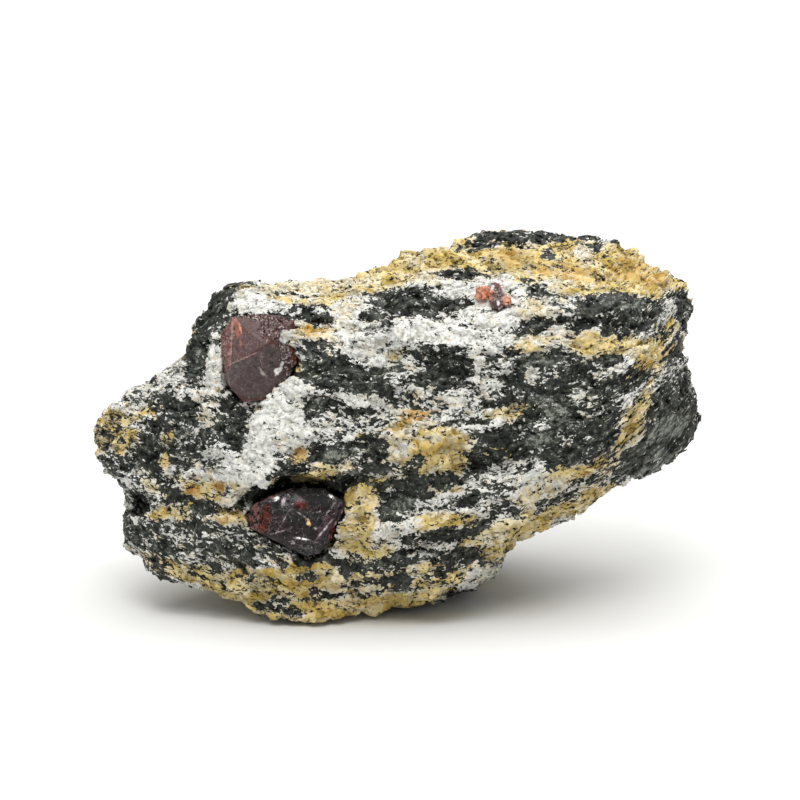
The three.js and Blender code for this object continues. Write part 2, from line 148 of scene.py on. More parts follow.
@dataclass(frozen=True)
class Cells:
    """Packed cells such as grains or sheets, each with a flat top that leans its own way."""

    seed: int

    def __call__(self, points: np.ndarray, size: float | Size) -> tuple[np.ndarray, np.ndarray]:
        """Reads the cells.

        Args:
            points: places, one a line, in millimetres.
            size: millimetres across a cell, the same all ways or one for each.

        Returns:
            How high each place lies on its cell's leaning top, from -2 to 2, and how far it is from the next
            cell.
        """
        random = np.random.default_rng(self.seed)
        order = np.tile(random.permutation(TABLE), 2)
        middles, leans = random.random((TABLE, 3)), random.normal(size=(TABLE, 3))
        heights = random.normal(size=TABLE)
        scaled = points / np.asarray(size)
        cell = np.floor(scaled).astype(int)
        nearest, second = np.full((2, len(points)), np.inf)
        rise = np.zeros(len(points))
        for corner in product((-1, 0, 1), repeat=3):
            i, j, k = ((cell + corner) & (TABLE - 1)).T
            pick = order[order[order[i] + j] + k]
            away = scaled - (cell + corner) - middles[pick]
            distance = np.linalg.norm(away, axis=1)
            nearer = distance < nearest
            second = np.where(nearer, nearest, np.minimum(second, distance))
            rise = np.where(nearer, (away * leans[pick]).sum(axis=1) + 0.5 * heights[pick], rise)
            nearest = np.where(nearer, distance, nearest)
        return np.clip(rise, -2, 2), second - nearest


def smoothstep(low: float, high: float, value: np.ndarray) -> np.ndarray:
    """A smooth climb from 0 at `low` to 1 at `high`, or a fall if low is the larger."""
    share = np.clip((value - low) / (high - low), 0, 1)
    return share * share * (3 - 2 * share)


# ---- Minerals ----


class Mineral(Enum):
    """What a patch of the stone is made of: its shares of dark mica, yellow stain, rust and grey quartz.

    Where the stone is dark, the last is the share of its mica that has large cleavage faces, which are
    painted a lighter grey as a satin sheen.
    """

    MICA = (0.90, 0.12, 0.0, 0.2)
    FLECKED_MICA = (0.74, 0.14, 0.0, 0.3)
    PEPPER = (0.67, 0.14, 0.0, 0.35)
    STAINED_PEPPER = (0.43, 0.85, 0.12, 0.1)
    SALT = (0.39, 0.10, 0.0, 0.30)
    FELDSPAR = (0.09, 0.03, 0.0, 0.10)
    MILKY = (-0.22, 0.04, 0.0, 0.0)  # under 0, so that hardly a fleck of mica is left in it
    # mica cleavage faces, with a painted satin sheen
    CLEAVAGE = (1.0, 0.10, 0.0, 1.0)
    CREAM = (0.08, 0.47, 0.0, 0.0)
    STAINED = (0.16, 0.92, 0.08, 0.0)
    OCHRE = (0.12, 1.0, 0.40, 0.0)
    RUST = (0.16, 1.0, 0.90, 0.0)
    QUARTZ = (0.12, 0.15, 0.0, 1.0)


class Tint(Enum):
    """The looks of a zircon in different places: its colour, its roughness and its share of pale frost. Some
    of the colours are painted light and shade: glow, highlights, a reflection and shadow.
    """

    BROWN = ("#47201a", 0.42, 0.05)
    # painted reflection: the mauve is greyed where the glossy lower face reflects the white room
    MAUVE = ("#4a3c3a", 0.30, 0.02)
    # painted glow: light coming through the thin top edge of the large zircon
    GLOW = ("#8a4528", 0.35, 0.0)
    # painted highlight in that glow
    STREAK = ("#d79a6c", 0.35, 0.0)
    PINK = ("#683c33", 0.45, 0.38)
    FROST = ("#4a2721", 0.50, 0.60)
    SPECKLED = ("#3c2824", 0.45, 0.66)
    RUSTY = ("#85452c", 0.45, 0.40)
    FELDSPAR = ("#dddcd8", 0.60, 0.0)
    CHIP = ("#b3ada2", 0.50, 0.0)
    # painted highlight along the facet edges of the large zircon
    EDGE = ("#a98379", 0.40, 0.15)
    # painted shade in pits and scratches
    PIT = ("#140d0c", 0.50, 0.0)
    SMOKE = ("#1b1315", 0.30, 0.02)
    SMOKE_GREY = ("#3b393d", 0.38, 0.32)
    # painted shadow on the dark zircon
    SHADE = ("#090708", 0.60, 0.0)
    SMOKE_PINK = ("#5e3f3b", 0.22, 0.0)
    RED = ("#3c140c", 0.20, 0.0)
    BRIGHT_RED = ("#4e1b10", 0.22, 0.0)
    GROOVED = ("#33242b", 0.28, 0.12)
    # painted highlight on ridges and glints, and the real pale colour of fine cracks and chips
    RIDGE = ("#a39798", 0.30, 0.1)
    # painted highlight: small white reflections
    GLINT = ("#f6f2f0", 0.40, 0.0)
    TAN = ("#b89d70", 0.50, 0.0)
    SHARD = ("#5c3b3a", 0.40, 0.55)
    ORANGE = ("#f0a27c", 0.45, 0.45)

    @property
    def look(self) -> np.ndarray:
        """Its linear colour, its roughness and its frost, as six numbers."""
        colour, roughness, frost = self.value
        return np.array([*linear(colour), roughness, frost])


class Relief(Enum):
    """How far a larger shape in the front stands out of it, in millimetres."""

    CREVICE = -0.9
    HOLLOW = -0.5
    SHELF = 0.45


@dataclass(frozen=True)
class Patch:
    """An ellipse of one mineral, tint or relief on the front, with a ragged edge.

    `turn` is in degrees, from +u towards +w. `ragged` scales how far its edge strays.
    """

    name: str
    kind: Mineral | Tint | Relief
    u: float
    w: float
    length: float
    width: float
    turn: float = 0.0
    ragged: float = 1.0

    def cover(self, front: np.ndarray, stray: np.ndarray, soft: float = 0.45) -> np.ndarray:
        """Tells how far each place lies inside the patch.

        Args:
            front: places as u, v, w.
            stray: how far its edge strays at each place, in millimetres.
            soft: half the width of its edge.

        Returns:
            1 inside, 0 outside, and values between along the edge.
        """
        t = math.radians(self.turn)
        du, dw = front[:, 0] - self.u, front[:, 2] - self.w
        along = (du * math.cos(t) + dw * math.sin(t)) / (self.length / 2)
        across = (dw * math.cos(t) - du * math.sin(t)) / (self.width / 2)
        radius = np.hypot(along, across)
        inside = (1 - radius) * self.width / 2 + stray * self.ragged
        return smoothstep(-soft, soft, inside)


# Later patches lie over earlier ones.
PATCHES = (
    Patch("stained band under the cap", Mineral.STAINED, 25.1, 48.7, 34.5, 8.6, -9),
    Patch("stained band rising to the cap", Mineral.STAINED, 1.2, 48.7, 17.9, 5, 14),
    Patch("stained band over the left corner", Mineral.STAINED, -10.8, 45.5, 13.5, 4.1, 3),
    Patch("stained belly", Mineral.STAINED, -9.1, 4.6, 33.1, 7.7, -4),
    Patch("stained underside", Mineral.STAINED, -16.5, 2.6, 22.0, 4.6, -14),
    Patch("stained belly, right", Mineral.STAINED, 4, 5.9, 20.7, 5.5, 12),
    Patch("stained flank", Mineral.STAINED, 14.4, 11.9, 17.9, 4.7, 26),
    Patch("stained flank, upper", Mineral.STAINED, 22.1, 16.2, 15.2, 4.2, 16),
    Patch("stained strands at the right", Mineral.STAINED_PEPPER, 31.2, 25.3, 13.2, 5.8, 62),
    Patch("yellow seam above the dark face", Mineral.STAINED, 22.6, 38.1, 16.6, 3, 3),
    Patch("yellow seam, left of it", Mineral.CREAM, 20.6, 39.5, 9.7, 3.3),
    Patch("left rim", Mineral.STAINED, -40.8, 24.3, 4.7, 3, 80),
    Patch("lower left rim", Mineral.STAINED_PEPPER, -26.4, 7.6, 22.1, 4.7, -13),
    Patch("pepper of the lower left", Mineral.PEPPER, -26.4, 11.9, 25.5, 7.5, -8),
    Patch("salt of the left shoulder", Mineral.SALT, -31.9, 32.6, 17.0, 5.2, 24),
    Patch("pepper of the left end", Mineral.PEPPER, -37.4, 20.8, 9.7, 8.3, 70),
    Patch("stained left end", Mineral.STAINED_PEPPER, -38.4, 27.0, 6.4, 4.2, 40),
    Patch("pepper of the upper left corner", Mineral.PEPPER, -24, 42.6, 8.3, 6.9, 50),
    Patch("middle pepper", Mineral.SALT, 0.6, 30.5, 27.6, 8.3, 5),
    Patch("dark middle", Mineral.FLECKED_MICA, -7, 33.9, 15.2, 6.1, -10),
    Patch("large dark face", Mineral.MICA, 22.1, 29.4, 16.8, 15.5, -10, 0.8),
    Patch("dark lens at the right end", Mineral.MICA, 38.1, 27.7, 14.9, 8.6, 70, 0.8),
    Patch("dark block under the stained band", Mineral.MICA, 30.9, 43.1, 11.6, 3.6, -4, 0.8),
    Patch("dark corner", Mineral.MICA, 39.5, 43.1, 6.1, 4.1, -30),
    Patch("dark boss left of the large zircon", Mineral.MICA, -24.6, 42.6, 8, 4.4, 60),
    Patch("steep dark face", Mineral.MICA, -26.6, 36.7, 7.5, 4.4, 70, 0.8),
    Patch("dark blue hollow", Mineral.MICA, -30.9, 23.6, 9.1, 6.9, 10),
    Patch("dark face under the large zircon", Mineral.MICA, -21.8, 27.7, 7.7, 6.3, -70, 0.8),
    Patch("dark seam of the shoulder", Mineral.MICA, -29.5, 29.4, 7.7, 3, 10),
    Patch("pepper between them", Mineral.PEPPER, -27.3, 25, 6.9, 5.5, 60),
    # partly real mica, partly painted shadow of the crevice over the dark zircon
    Patch("dark strip above the dark zircon", Mineral.MICA, -17.7, 17.8, 12.4, 2.8, 8),
    Patch("dark face over the dark zircon", Mineral.MICA, -9.1, 22.9, 8, 3.9, 20, 0.8),
    Patch("dark square", Mineral.MICA, -2.8, 23.3, 4.7, 4.1, 50, 0.8),
    Patch("dark bridge", Mineral.MICA, -8, 19.5, 3, 2.5),
    Patch("big dark face in the middle", Mineral.MICA, 0.8, 17.2, 8.6, 5.8, 35, 0.8),
    Patch("dark band in the middle", Mineral.MICA, 8.3, 20.8, 11.6, 3.6, 12),
    Patch("speckled slope", Mineral.SALT, 14.6, 19.2, 12.7, 5.5, 18),
    Patch("speckled foot of it", Mineral.SALT, 6.9, 16.3, 10.5, 3.9, 6),
    Patch("pale flank", Mineral.CREAM, 19.2, 18.1, 8.3, 4.1, 20),
    Patch("stained eye", Mineral.STAINED, 4.4, 24, 11.3, 6.3, 4, 0.8),
    Patch("pale spot of the eye", Mineral.CREAM, 0.6, 24.2, 3.2, 3.0, 0, 0.8),
    Patch("ochre seam over the eye", Mineral.OCHRE, 0.2, 27.2, 6.6, 1.5, 24, 0.8),
    Patch("ochre spot under the white vein", Mineral.OCHRE, -13.0, 23.0, 2.8, 1.8, 20, 0.8),
    Patch("stained eye, lower", Mineral.STAINED, 7.5, 22.5, 6.1, 3, 4),
    Patch("orange heart", Mineral.OCHRE, 5.8, 24, 4.1, 3.3),
    Patch("stained seam above the dark zircon", Mineral.STAINED, -9.7, 20.8, 8.8, 2.5, 16),
    Patch("stained knot right of the dark zircon", Mineral.STAINED, -5.2, 15.3, 5.5, 8, -15),
    Patch("stained seam under the middle", Mineral.STAINED, 7, 14.2, 9.9, 2.8, 4),
    Patch("white band", Mineral.FELDSPAR, 6.9, 39.2, 15.5, 6.3, -12),
    Patch("white band, left", Mineral.FELDSPAR, -4.1, 36.8, 7.7, 4.1, -14),
    Patch("white corner", Mineral.CREAM, -6.5, 42.1, 5.2, 3, 75),
    Patch("white tail", Mineral.FELDSPAR, 13, 37.1, 4.1, 3.6),
    Patch("speckled white", Mineral.SALT, 1.7, 33.8, 6.1, 5.5),
    Patch("white above the large zircon", Mineral.MILKY, -19.2, 43.9, 6.1, 3.9, 6),
    Patch("cream ledge", Mineral.CREAM, 5.2, 47.1, 5.5, 2.5),
    Patch("white vein, head", Mineral.MILKY, -15.5, 31.1, 9.1, 3.9, 14),
    Patch("white vein", Mineral.MILKY, -16, 27.2, 8.6, 6.3, 55),
    Patch("white vein, foot", Mineral.MILKY, -18.2, 22.5, 6.9, 4.1, 62),
    Patch("white vein, right arm", Mineral.SALT, -7.5, 26.9, 11, 3.9, 4),
    Patch("white right of the large zircon", Mineral.QUARTZ, -12.1, 37.1, 3, 3.3),
    Patch("white middle", Mineral.FELDSPAR, -4.7, 30.5, 6.0, 2.2, -6, 0.8),
    Patch("white strip left of the large zircon", Mineral.MILKY, -25.1, 35.7, 5.0, 0.9, 84, 0.6),
    Patch("white grain left of it", Mineral.MILKY, -24.1, 36.4, 2.7, 1.9, 60, 0.6),
    Patch("white strip lower", Mineral.FELDSPAR, -24.2, 31.6, 4.7, 1.5, 75),
    Patch("white finger", Mineral.MILKY, -25.5, 31.7, 4.4, 1.1, 22, 0.3),
    Patch("white finger, short", Mineral.MILKY, -22.7, 31.2, 2.2, 0.9, 35, 0.3),
    Patch("white finger, lower", Mineral.SALT, -25.3, 28, 4.7, 2.2, 70),
    Patch("grey foot", Mineral.QUARTZ, 12.1, 6.9, 5, 3.6, 10),
    Patch("grey foot, lower", Mineral.QUARTZ, 9.1, 4.3, 5.5, 2.2, 14),
    Patch("salt of the middle top", Mineral.SALT, 17.1, 43.0, 17.0, 6.4, -6),
    Patch("white around the small zircons", Mineral.FELDSPAR, 12.6, 43.4, 12.0, 6.6, -8),
    Patch("cream right of the small zircons", Mineral.CREAM, 18.2, 42.4, 6.0, 4.4, -20),
    Patch("white knot, left end", Mineral.SALT, -36.2, 18.4, 3.6, 3.6),
    # painted shadow: mica laid in the notch at the left end
    Patch("black notch", Mineral.MICA, -35.4, 16.8, 6.0, 2.0, -32, 0.7),
    Patch("quartz wedge", Mineral.QUARTZ, -30.4, 21, 1.4, 1.8, 0, 0.4),
    Patch("quartz grain", Mineral.QUARTZ, 18.1, 33.9, 2.4, 2.2, 0, 0.3),
    Patch("grain of the dark face", Mineral.SALT, 25.0, 29.8, 4.6, 1.3, 30, 0.8),
    Patch("grain of the dark face, low", Mineral.SALT, 20.4, 27.0, 3.4, 1.0, 20, 0.8),
    Patch("quartz grain, second", Mineral.QUARTZ, 21.4, 35.2, 1.9, 1.4, 0, 0.4),
    Patch("pale streak", Mineral.SALT, 27.6, 34.1, 3.9, 1.9, -20),
    Patch("quartz grain, third", Mineral.QUARTZ, -0.1, 11.9, 1.8, 1.5, 0, 0.4),
    Patch("quartz grain, fourth", Mineral.QUARTZ, 32.6, 21.8, 1.8, 1.5, 0, 0.4),
    Patch("white fleck of the corner", Mineral.SALT, 37.4, 43.1, 1.9, 2.8, 0, 0.8),
    Patch("cream streak in the lower left", Mineral.CREAM, -21.5, 17.9, 4.7, 1.8, 30),
    Patch("yellow streak in the lower left", Mineral.STAINED, -30.4, 15.2, 5.5, 1.8, 4),
    Patch("yellow fleck", Mineral.OCHRE, -22.1, 14.5, 3.9, 1.2),
    Patch("brown knot", Mineral.STAINED, -25.7, 18.8, 6.9, 3.0, -6),
    Patch("yellow knot at the left end", Mineral.STAINED, -36.9, 25.3, 4.2, 2.2, 62),
    Patch("yellow fleck of the shoulder", Mineral.OCHRE, -39.7, 29.4, 1.4, 1.1, 0, 0.6),
    Patch("yellow fleck right of the large zircon", Mineral.OCHRE, -11.6, 39.9, 3, 1.5, -14, 0.8),
    Patch("yellow fleck, lower", Mineral.STAINED, -13.2, 34.9, 1.4, 2.2, 0, 0.8),
    Patch("tan patch at the left", Mineral.STAINED_PEPPER, -30.2, 25.6, 2.6, 2.2, 70, 0.6),
    Patch("rust grain at the left", Mineral.OCHRE, -31.2, 22.4, 1.7, 1.8, 0, 0.15),
    Patch("rust fleck", Mineral.RUST, 2.3, 28.7, 2.3, 1.2, 0, 0.7),
    Patch("orange stain under the cap", Mineral.OCHRE, 24, 47.3, 8.3, 3.6, -12),
    Patch("orange stain, left", Mineral.OCHRE, 16, 50.2, 5.5, 2.8, 10),
    Patch("orange stain, right", Mineral.OCHRE, 33.7, 48.2, 8.3, 3.6, -16),
    Patch("pale block under the cap", Mineral.CREAM, 25.7, 50.6, 2.2, 3.9, 0, 0.6),
    Patch("pink patch under the cap", Mineral.CREAM, 21.5, 46, 6.1, 2.2, -6),
    Patch("orange stain of the right", Mineral.OCHRE, 33.9, 35.2, 2.5, 1.9),
    Patch("yellow seam at the right", Mineral.STAINED, 29.8, 37.7, 10.2, 3, 4),
    Patch("yellow seam, far right", Mineral.STAINED, 33.9, 37.8, 3, 1.9),
    Patch("ochre ledge at the left", Mineral.OCHRE, -7, 46.4, 3.3, 1.7),
    Patch("cream band over the left corner", Mineral.CREAM, -12.0, 46.0, 15.0, 2.6, 3, 0.7),
    Patch("dark line over the left corner", Mineral.MICA, -10.2, 41.8, 6.9, 1.7, -14),
    Patch("dark under the white corner", Mineral.FLECKED_MICA, -9.8, 35.7, 6.1, 5.5, -60),
    Patch("dark hollow of the middle top", Mineral.MICA, 1.8, 43.2, 8.3, 3.7, -8),
    Patch("dark bar", Mineral.MICA, 7.7, 43.7, 4.1, 1.9, -8, 0.8),
    Patch("dark under the white band", Mineral.MICA, 6.3, 36.4, 8.3, 1.9, -12),
    Patch("dark lens of the middle", Mineral.MICA, 6.1, 33.5, 7.2, 3.3, 0, 0.8),
    Patch("dark right of it", Mineral.MICA, 12.8, 35.2, 3, 2.8),
    Patch("dark strip at the left", Mineral.MICA, -5.4, 33.4, 13.2, 3, -6),
    Patch("dark seam under the white middle", Mineral.MICA, -7, 28.8, 9.1, 0.8, 0, 0.8),
    Patch("dark step", Mineral.MICA, -9.7, 29.9, 4.7, 2.8, -10),
    Patch("dark seam in the pepper", Mineral.MICA, 23.6, 40.9, 9, 2.0, -6),
    Patch("dark fleck", Mineral.MICA, 17.8, 40.3, 5.8, 1.9),
    Patch("dark fleck, left", Mineral.MICA, 19.5, 45.2, 3.6, 1.1, -10, 0.7),
    Patch("dark spot in the stained band", Mineral.MICA, 21, 50.6, 1.7, 1.7, 0, 0.6),
    Patch("dark spot, right", Mineral.MICA, 27.7, 51.3, 2.2, 1.4, -60, 0.6),
    Patch("dark line of the cap", Mineral.MICA, 19.9, 53.7, 23.5, 1.2, -4, 0.8),
    Patch("dark left of the cap", Mineral.MICA, 11.9, 52.2, 5, 2.2, 20),
    Patch("dark fleck in the eye", Mineral.MICA, 2.2, 26.2, 1.4, 1, 0, 0.5),
    Patch("dark fleck, lower", Mineral.MICA, 2.5, 22.2, 2.2, 1.2, 30, 0.6),
    Patch("pale heart of the flank", Mineral.CREAM, 12.9, 11.6, 5.0, 1.6, 22, 0.8),
    Patch("dark seam of the flank", Mineral.MICA, 9.1, 13.7, 15.2, 0.8, 14, 0.6),
    Patch("dark seam of the flank, second", Mineral.MICA, 14.1, 15.7, 4.1, 1.9, 20, 0.8),
    Patch("dark seam of the belly", Mineral.MICA, 9.4, 9.5, 6.9, 2.1, 10, 0.8),
    Patch("dark seam of the belly, left", Mineral.MICA, -0.8, 9, 6.1, 1.9, 14, 0.8),
    Patch("dark seam under it", Mineral.MICA, 0.6, 6.6, 17.9, 1, 9, 0.7),
    Patch("dark seam of the foot", Mineral.MICA, 8.1, 3.7, 4.7, 2.2, 14, 0.8),
    Patch("dark lines of the foot", Mineral.MICA, -6.3, 4.3, 17.9, 0.6, 6, 0.6),
    Patch("dark line, lowest", Mineral.MICA, -15.7, 2.3, 4.7, 0.8, -12, 0.6),
    Patch("dark top of the cap", Mineral.MICA, 16.2, 53.4, 13.0, 2.6, -3, 0.6),
    Patch("dark rim of the cap", Mineral.MICA, 26.5, 53.3, 14.5, 1.2, -9, 0.4),
    Patch("dark foot of the lens", Mineral.MICA, 35.1, 23.4, 11.2, 5.6, 30, 0.6),
    Patch("pepper behind the lens", Mineral.PEPPER, 36.5, 33.4, 11.0, 3.8, 32),
    Patch("stained strand beside the lens", Mineral.STAINED, 33.0, 30.0, 8.5, 1.3, 62, 0.7),
    Patch("stained seam left of the dark face", Mineral.STAINED, 14.4, 28.6, 5.6, 1.7, 6),
    Patch("pale knot in the dark face", Mineral.QUARTZ, 24.9, 31.6, 2.2, 1.2, 10, 0.6),
    Patch("brown heart of the knot", Mineral.RUST, -27.4, 18.5, 2.1, 1.4, 20, 0.6),
    Patch("brown heart of the knot, right", Mineral.RUST, -23.5, 19.0, 1.9, 1.3, 0, 0.6),
    # painted shadow: mica laid in the cleft under the dark slab
    Patch("black cleft under the slab", Mineral.MICA, 29.2, 40.7, 12.5, 2.0, -4, 0.6),
    # painted satin sheen on cleavage faces, here and below
    Patch("cleavage over the dark face", Mineral.CLEAVAGE, 19.8, 35.5, 7.6, 1.8, -4, 0.6),
    Patch("cleavage of the dark face", Mineral.CLEAVAGE, 21.6, 29.2, 5.6, 3.4, -30, 0.6),
    Patch("cleavage of the dark face, low", Mineral.CLEAVAGE, 19.4, 25.4, 3.2, 2.0, 20, 0.6),
    Patch("cleavage of the lens", Mineral.CLEAVAGE, 36.9, 26.6, 7.2, 3.2, 26, 0.5),
    Patch("cleavage of the lens, low", Mineral.CLEAVAGE, 35.2, 21.8, 5.0, 2.6, 30, 0.6),
    Patch("cleavage of the dark slab", Mineral.CLEAVAGE, 31.4, 43.6, 5.0, 1.6, -5, 0.6),
    Patch("cleavage of the steep face", Mineral.CLEAVAGE, -27.2, 36.2, 3.6, 2.0, 70, 0.6),
    Patch("cleavage of the dark step", Mineral.CLEAVAGE, -7.6, 23.2, 4.0, 1.8, 16, 0.6),
    Patch("cleavage in the middle", Mineral.CLEAVAGE, 0.8, 16.8, 3.6, 2.4, 30, 0.6),
    Patch("dark seam above the belly", Mineral.MICA, -6.3, 7.6, 9.7, 0.8, 6, 0.6),
    Patch("dark blue grain", Mineral.MICA, -26.2, 15.6, 2.5, 1.9, 30, 0.6),
    Patch("dark fleck of the slope", Mineral.MICA, 9.4, 17.0, 3.4, 1.8, 20, 0.8),
    Patch("dark lines of the upper flank", Mineral.FLECKED_MICA, 23.0, 17.6, 8.5, 0.9, 24, 0.9),
)

RELIEFS = (
    Patch("cleft under the dark slab", Relief.CREVICE, 30.0, 40.9, 9.0, 1.1, -5),
    Patch("dark slab", Relief.SHELF, 30.7, 43.3, 7.5, 3.2, -5),
    Patch("groove left of the dark face", Relief.HOLLOW, 16.8, 29.3, 13.5, 1.2, -85),
    Patch("groove right of the dark face", Relief.CREVICE, 32.2, 27.7, 12.7, 1.2, 70),
    Patch("facet of the lens", Relief.SHELF, 36.9, 26.8, 6.4, 3.4, 20, 0.5),
    Patch("cleft over the facet", Relief.CREVICE, 38.0, 29.8, 5.5, 1.3, -40),
    Patch("line over the dark face", Relief.HOLLOW, 19.6, 36.6, 8.0, 0.9, 2),
    Patch("steep dark face", Relief.HOLLOW, -27.0, 36.3, 5.2, 3.0, 70),
    Patch("notch at the left", Relief.CREVICE, -35.2, 16.3, 4.8, 1.4, -10),
    Patch("crevice over the dark zircon", Relief.CREVICE, -12.3, 18.9, 13.0, 1.2, 6),
    Patch("hollow right of it", Relief.HOLLOW, -5.0, 20.0, 6.0, 2.0, 6),
    Patch("blue hollow", Relief.HOLLOW, -31.5, 24.5, 7.5, 4.8, 10),
    Patch("face under the large zircon", Relief.HOLLOW, -21.8, 27.7, 6.6, 5.0, -70),
    Patch("crevice under the eye", Relief.CREVICE, 12.5, 21.6, 9.0, 0.9, 6),
    Patch("eye", Relief.SHELF, 4.6, 24.2, 9.0, 5.0, 4),
    Patch("seam of the belly", Relief.CREVICE, 6.8, 11.3, 15.0, 0.7, 10),
    Patch("lens of the belly", Relief.HOLLOW, 9.4, 9.5, 7.0, 2.0, 10),
    Patch("lower seam of the belly", Relief.HOLLOW, 0.6, 6.6, 18.0, 0.8, 9),
    Patch("faces left of the eye", Relief.HOLLOW, -4.2, 23.4, 9.0, 3.8, 12),
    Patch("hollow of the middle top", Relief.HOLLOW, 2.2, 43.2, 8.5, 3.4, -8),
    Patch("lens of the middle", Relief.HOLLOW, 6.1, 33.5, 7.2, 3.2, 0),
    Patch("white band", Relief.SHELF, 5.0, 39.0, 17.0, 4.6, -12),
    Patch("white vein", Relief.SHELF, -16.4, 28.0, 11.0, 4.6, 58),
    Patch("rim of the cap", Relief.SHELF, 26.5, 52.6, 18.0, 4.4, -9),
    Patch("knot right of the dark zircon", Relief.SHELF, -5.2, 15.3, 5.2, 7.6, -15),
)

LARGE_TINTS = (
    Patch("right side", Tint.SPECKLED, -14.4, 36.0, 6.0, 3.4, 90),
    # these faces carry the painted reflection of the mauve tint
    Patch("bright lower face", Tint.MAUVE, -18.6, 33.6, 7.6, 5.6, 10, 0.3),
    Patch("top of the bright face", Tint.MAUVE, -17.0, 36.3, 3.6, 2.8, 40, 0.3),
    Patch("left of the bright face", Tint.MAUVE, -20.4, 34.2, 4.8, 3.4, 30, 0.3),
    Patch("grooved left side", Tint.PINK, -22.6, 38.0, 8.4, 1.7, 82, 0.3),
    Patch("frosted break", Tint.FROST, -16.6, 40.0, 3.6, 3.4, 0),
    Patch("frosted top edge", Tint.FROST, -18.2, 41.5, 5.6, 0.8, -2),
    # the painted glow and its painted highlight
    Patch("glow", Tint.GLOW, -21.3, 40.2, 2.6, 0.8, 100, 0.4),
    Patch("glow, lower", Tint.GLOW, -20.7, 38.1, 0.8, 0.4, 100, 0.4),
    Patch("streak in the glow", Tint.STREAK, -20.8, 40.0, 1.4, 0.25, 105, 0.2),
    Patch("rusty edge", Tint.RUSTY, -13.5, 37.6, 5.0, 0.8, 88, 0.6),
    Patch("feldspar in the corner", Tint.FELDSPAR, -14.7, 39.1, 2.0, 1.4, 60, 0.9),
    # painted highlights on the edges
    Patch("pale edge of the grooved side", Tint.EDGE, -22.0, 38.4, 6.2, 0.18, 88, 0.2),
    Patch("pale edge between the faces", Tint.EDGE, -20.0, 36.2, 4.2, 0.12, 24, 0.15),
    Patch("chip", Tint.CHIP, -17.8, 34.2, 1.1, 0.4, -52, 0.3),
    # painted shade in the scratches and the pit
    Patch("dark scratches", Tint.PIT, -18.9, 35.0, 1.8, 0.14, -30, 0.3),
    Patch("dark scratches, lower", Tint.PIT, -18.2, 33.4, 1.4, 0.12, 20, 0.3),
    Patch("pit", Tint.PIT, -16.6, 35.5, 0.6, 0.5, 0, 0.3),
    Patch("feldspar on the right side", Tint.FELDSPAR, -15.6, 34.6, 1.6, 0.6, 60, 0.8),
)
DARK_TINTS = (
    # painted shadow, here and in the two patches named shade
    Patch("black upper left", Tint.SHADE, -15.6, 16.2, 2.6, 1.8, 20),
    Patch("grey upper face", Tint.SMOKE_GREY, -14.4, 17.0, 1.8, 2.2, 0),
    Patch("red brown cloud", Tint.RED, -11.6, 16.9, 3.6, 1.6, -20, 1.4),
    Patch("shade under the brow", Tint.SHADE, -9.8, 18.0, 6.0, 3.4, 0),
    Patch("shade in the middle", Tint.SHADE, -12.6, 14.6, 4.6, 1.0, -8, 1.4),
    Patch("left face", Tint.SMOKE_PINK, -19.3, 14.9, 4.6, 2.2, 80, 0.3),
    Patch("red window", Tint.RED, -17.4, 14.7, 4.4, 1.6, 82, 0.3),
    Patch("bright part of the window", Tint.BRIGHT_RED, -17.9, 13.6, 1.5, 0.9, 60, 0.6),
    Patch("small red window", Tint.BRIGHT_RED, -12.9, 16.6, 1.6, 1.1, 50, 0.4),
    Patch("grooved right face", Tint.GROOVED, -8.8, 14.0, 6.4, 2.2, 62, 0.3),
    Patch("red edge", Tint.RED, -8.6, 12.6, 2.8, 0.8, 60, 0.4),
    Patch("lower face", Tint.SMOKE_GREY, -11.7, 10.5, 2.4, 1.4, 0, 0.5),
    # painted highlights along the ridges
    Patch("ridge", Tint.RIDGE, -9.7, 13.0, 3.0, 0.22, 52, 0.15),
    Patch("ridge, upper", Tint.RIDGE, -8.8, 15.9, 2.1, 0.2, 53, 0.15),
    Patch("seam of feldspar", Tint.TAN, -13.8, 10.2, 3.3, 0.35, -26, 0.5),
    # painted highlights, here and in the glints below
    Patch("cleavage glint", Tint.GLINT, -12.6, 12.0, 1.8, 0.26, -8, 0.12),
    Patch("glint", Tint.GLINT, -16.0, 17.3, 0.9, 0.5, 30, 0.15),
    Patch("glint, second", Tint.RIDGE, -15.0, 17.0, 1.1, 0.5, 70, 0.4),
    Patch("glint, third", Tint.GLINT, -8.6, 17.6, 0.8, 0.3, -35, 0.1),
    Patch("glint, fourth", Tint.RIDGE, -13.9, 11.5, 0.6, 0.34, 0, 0.2),
    Patch("crack", Tint.RIDGE, -14.9, 14.6, 1.6, 0.1, 60, 0.1),
    Patch("crack, second", Tint.RIDGE, -12.6, 15.2, 1.3, 0.1, -35, 0.1),
    Patch("crack, third", Tint.RIDGE, -15.6, 12.9, 1.6, 0.1, 15, 0.1),
    Patch("crack, fourth", Tint.RIDGE, -10.2, 15.6, 1.2, 0.1, 10, 0.1),
    Patch("ridge, right", Tint.RIDGE, -7.4, 15.2, 2.6, 0.16, 62, 0.15),
    Patch("ridge, left", Tint.SMOKE_PINK, -16.4, 17.6, 2.6, 0.3, 24, 0.3),
    Patch("chip", Tint.TAN, -11.7, 14.2, 0.9, 0.45, -50, 0.7),
    Patch("chip, second", Tint.RIDGE, -10.8, 13.4, 0.45, 0.3, 0, 0.5),
)
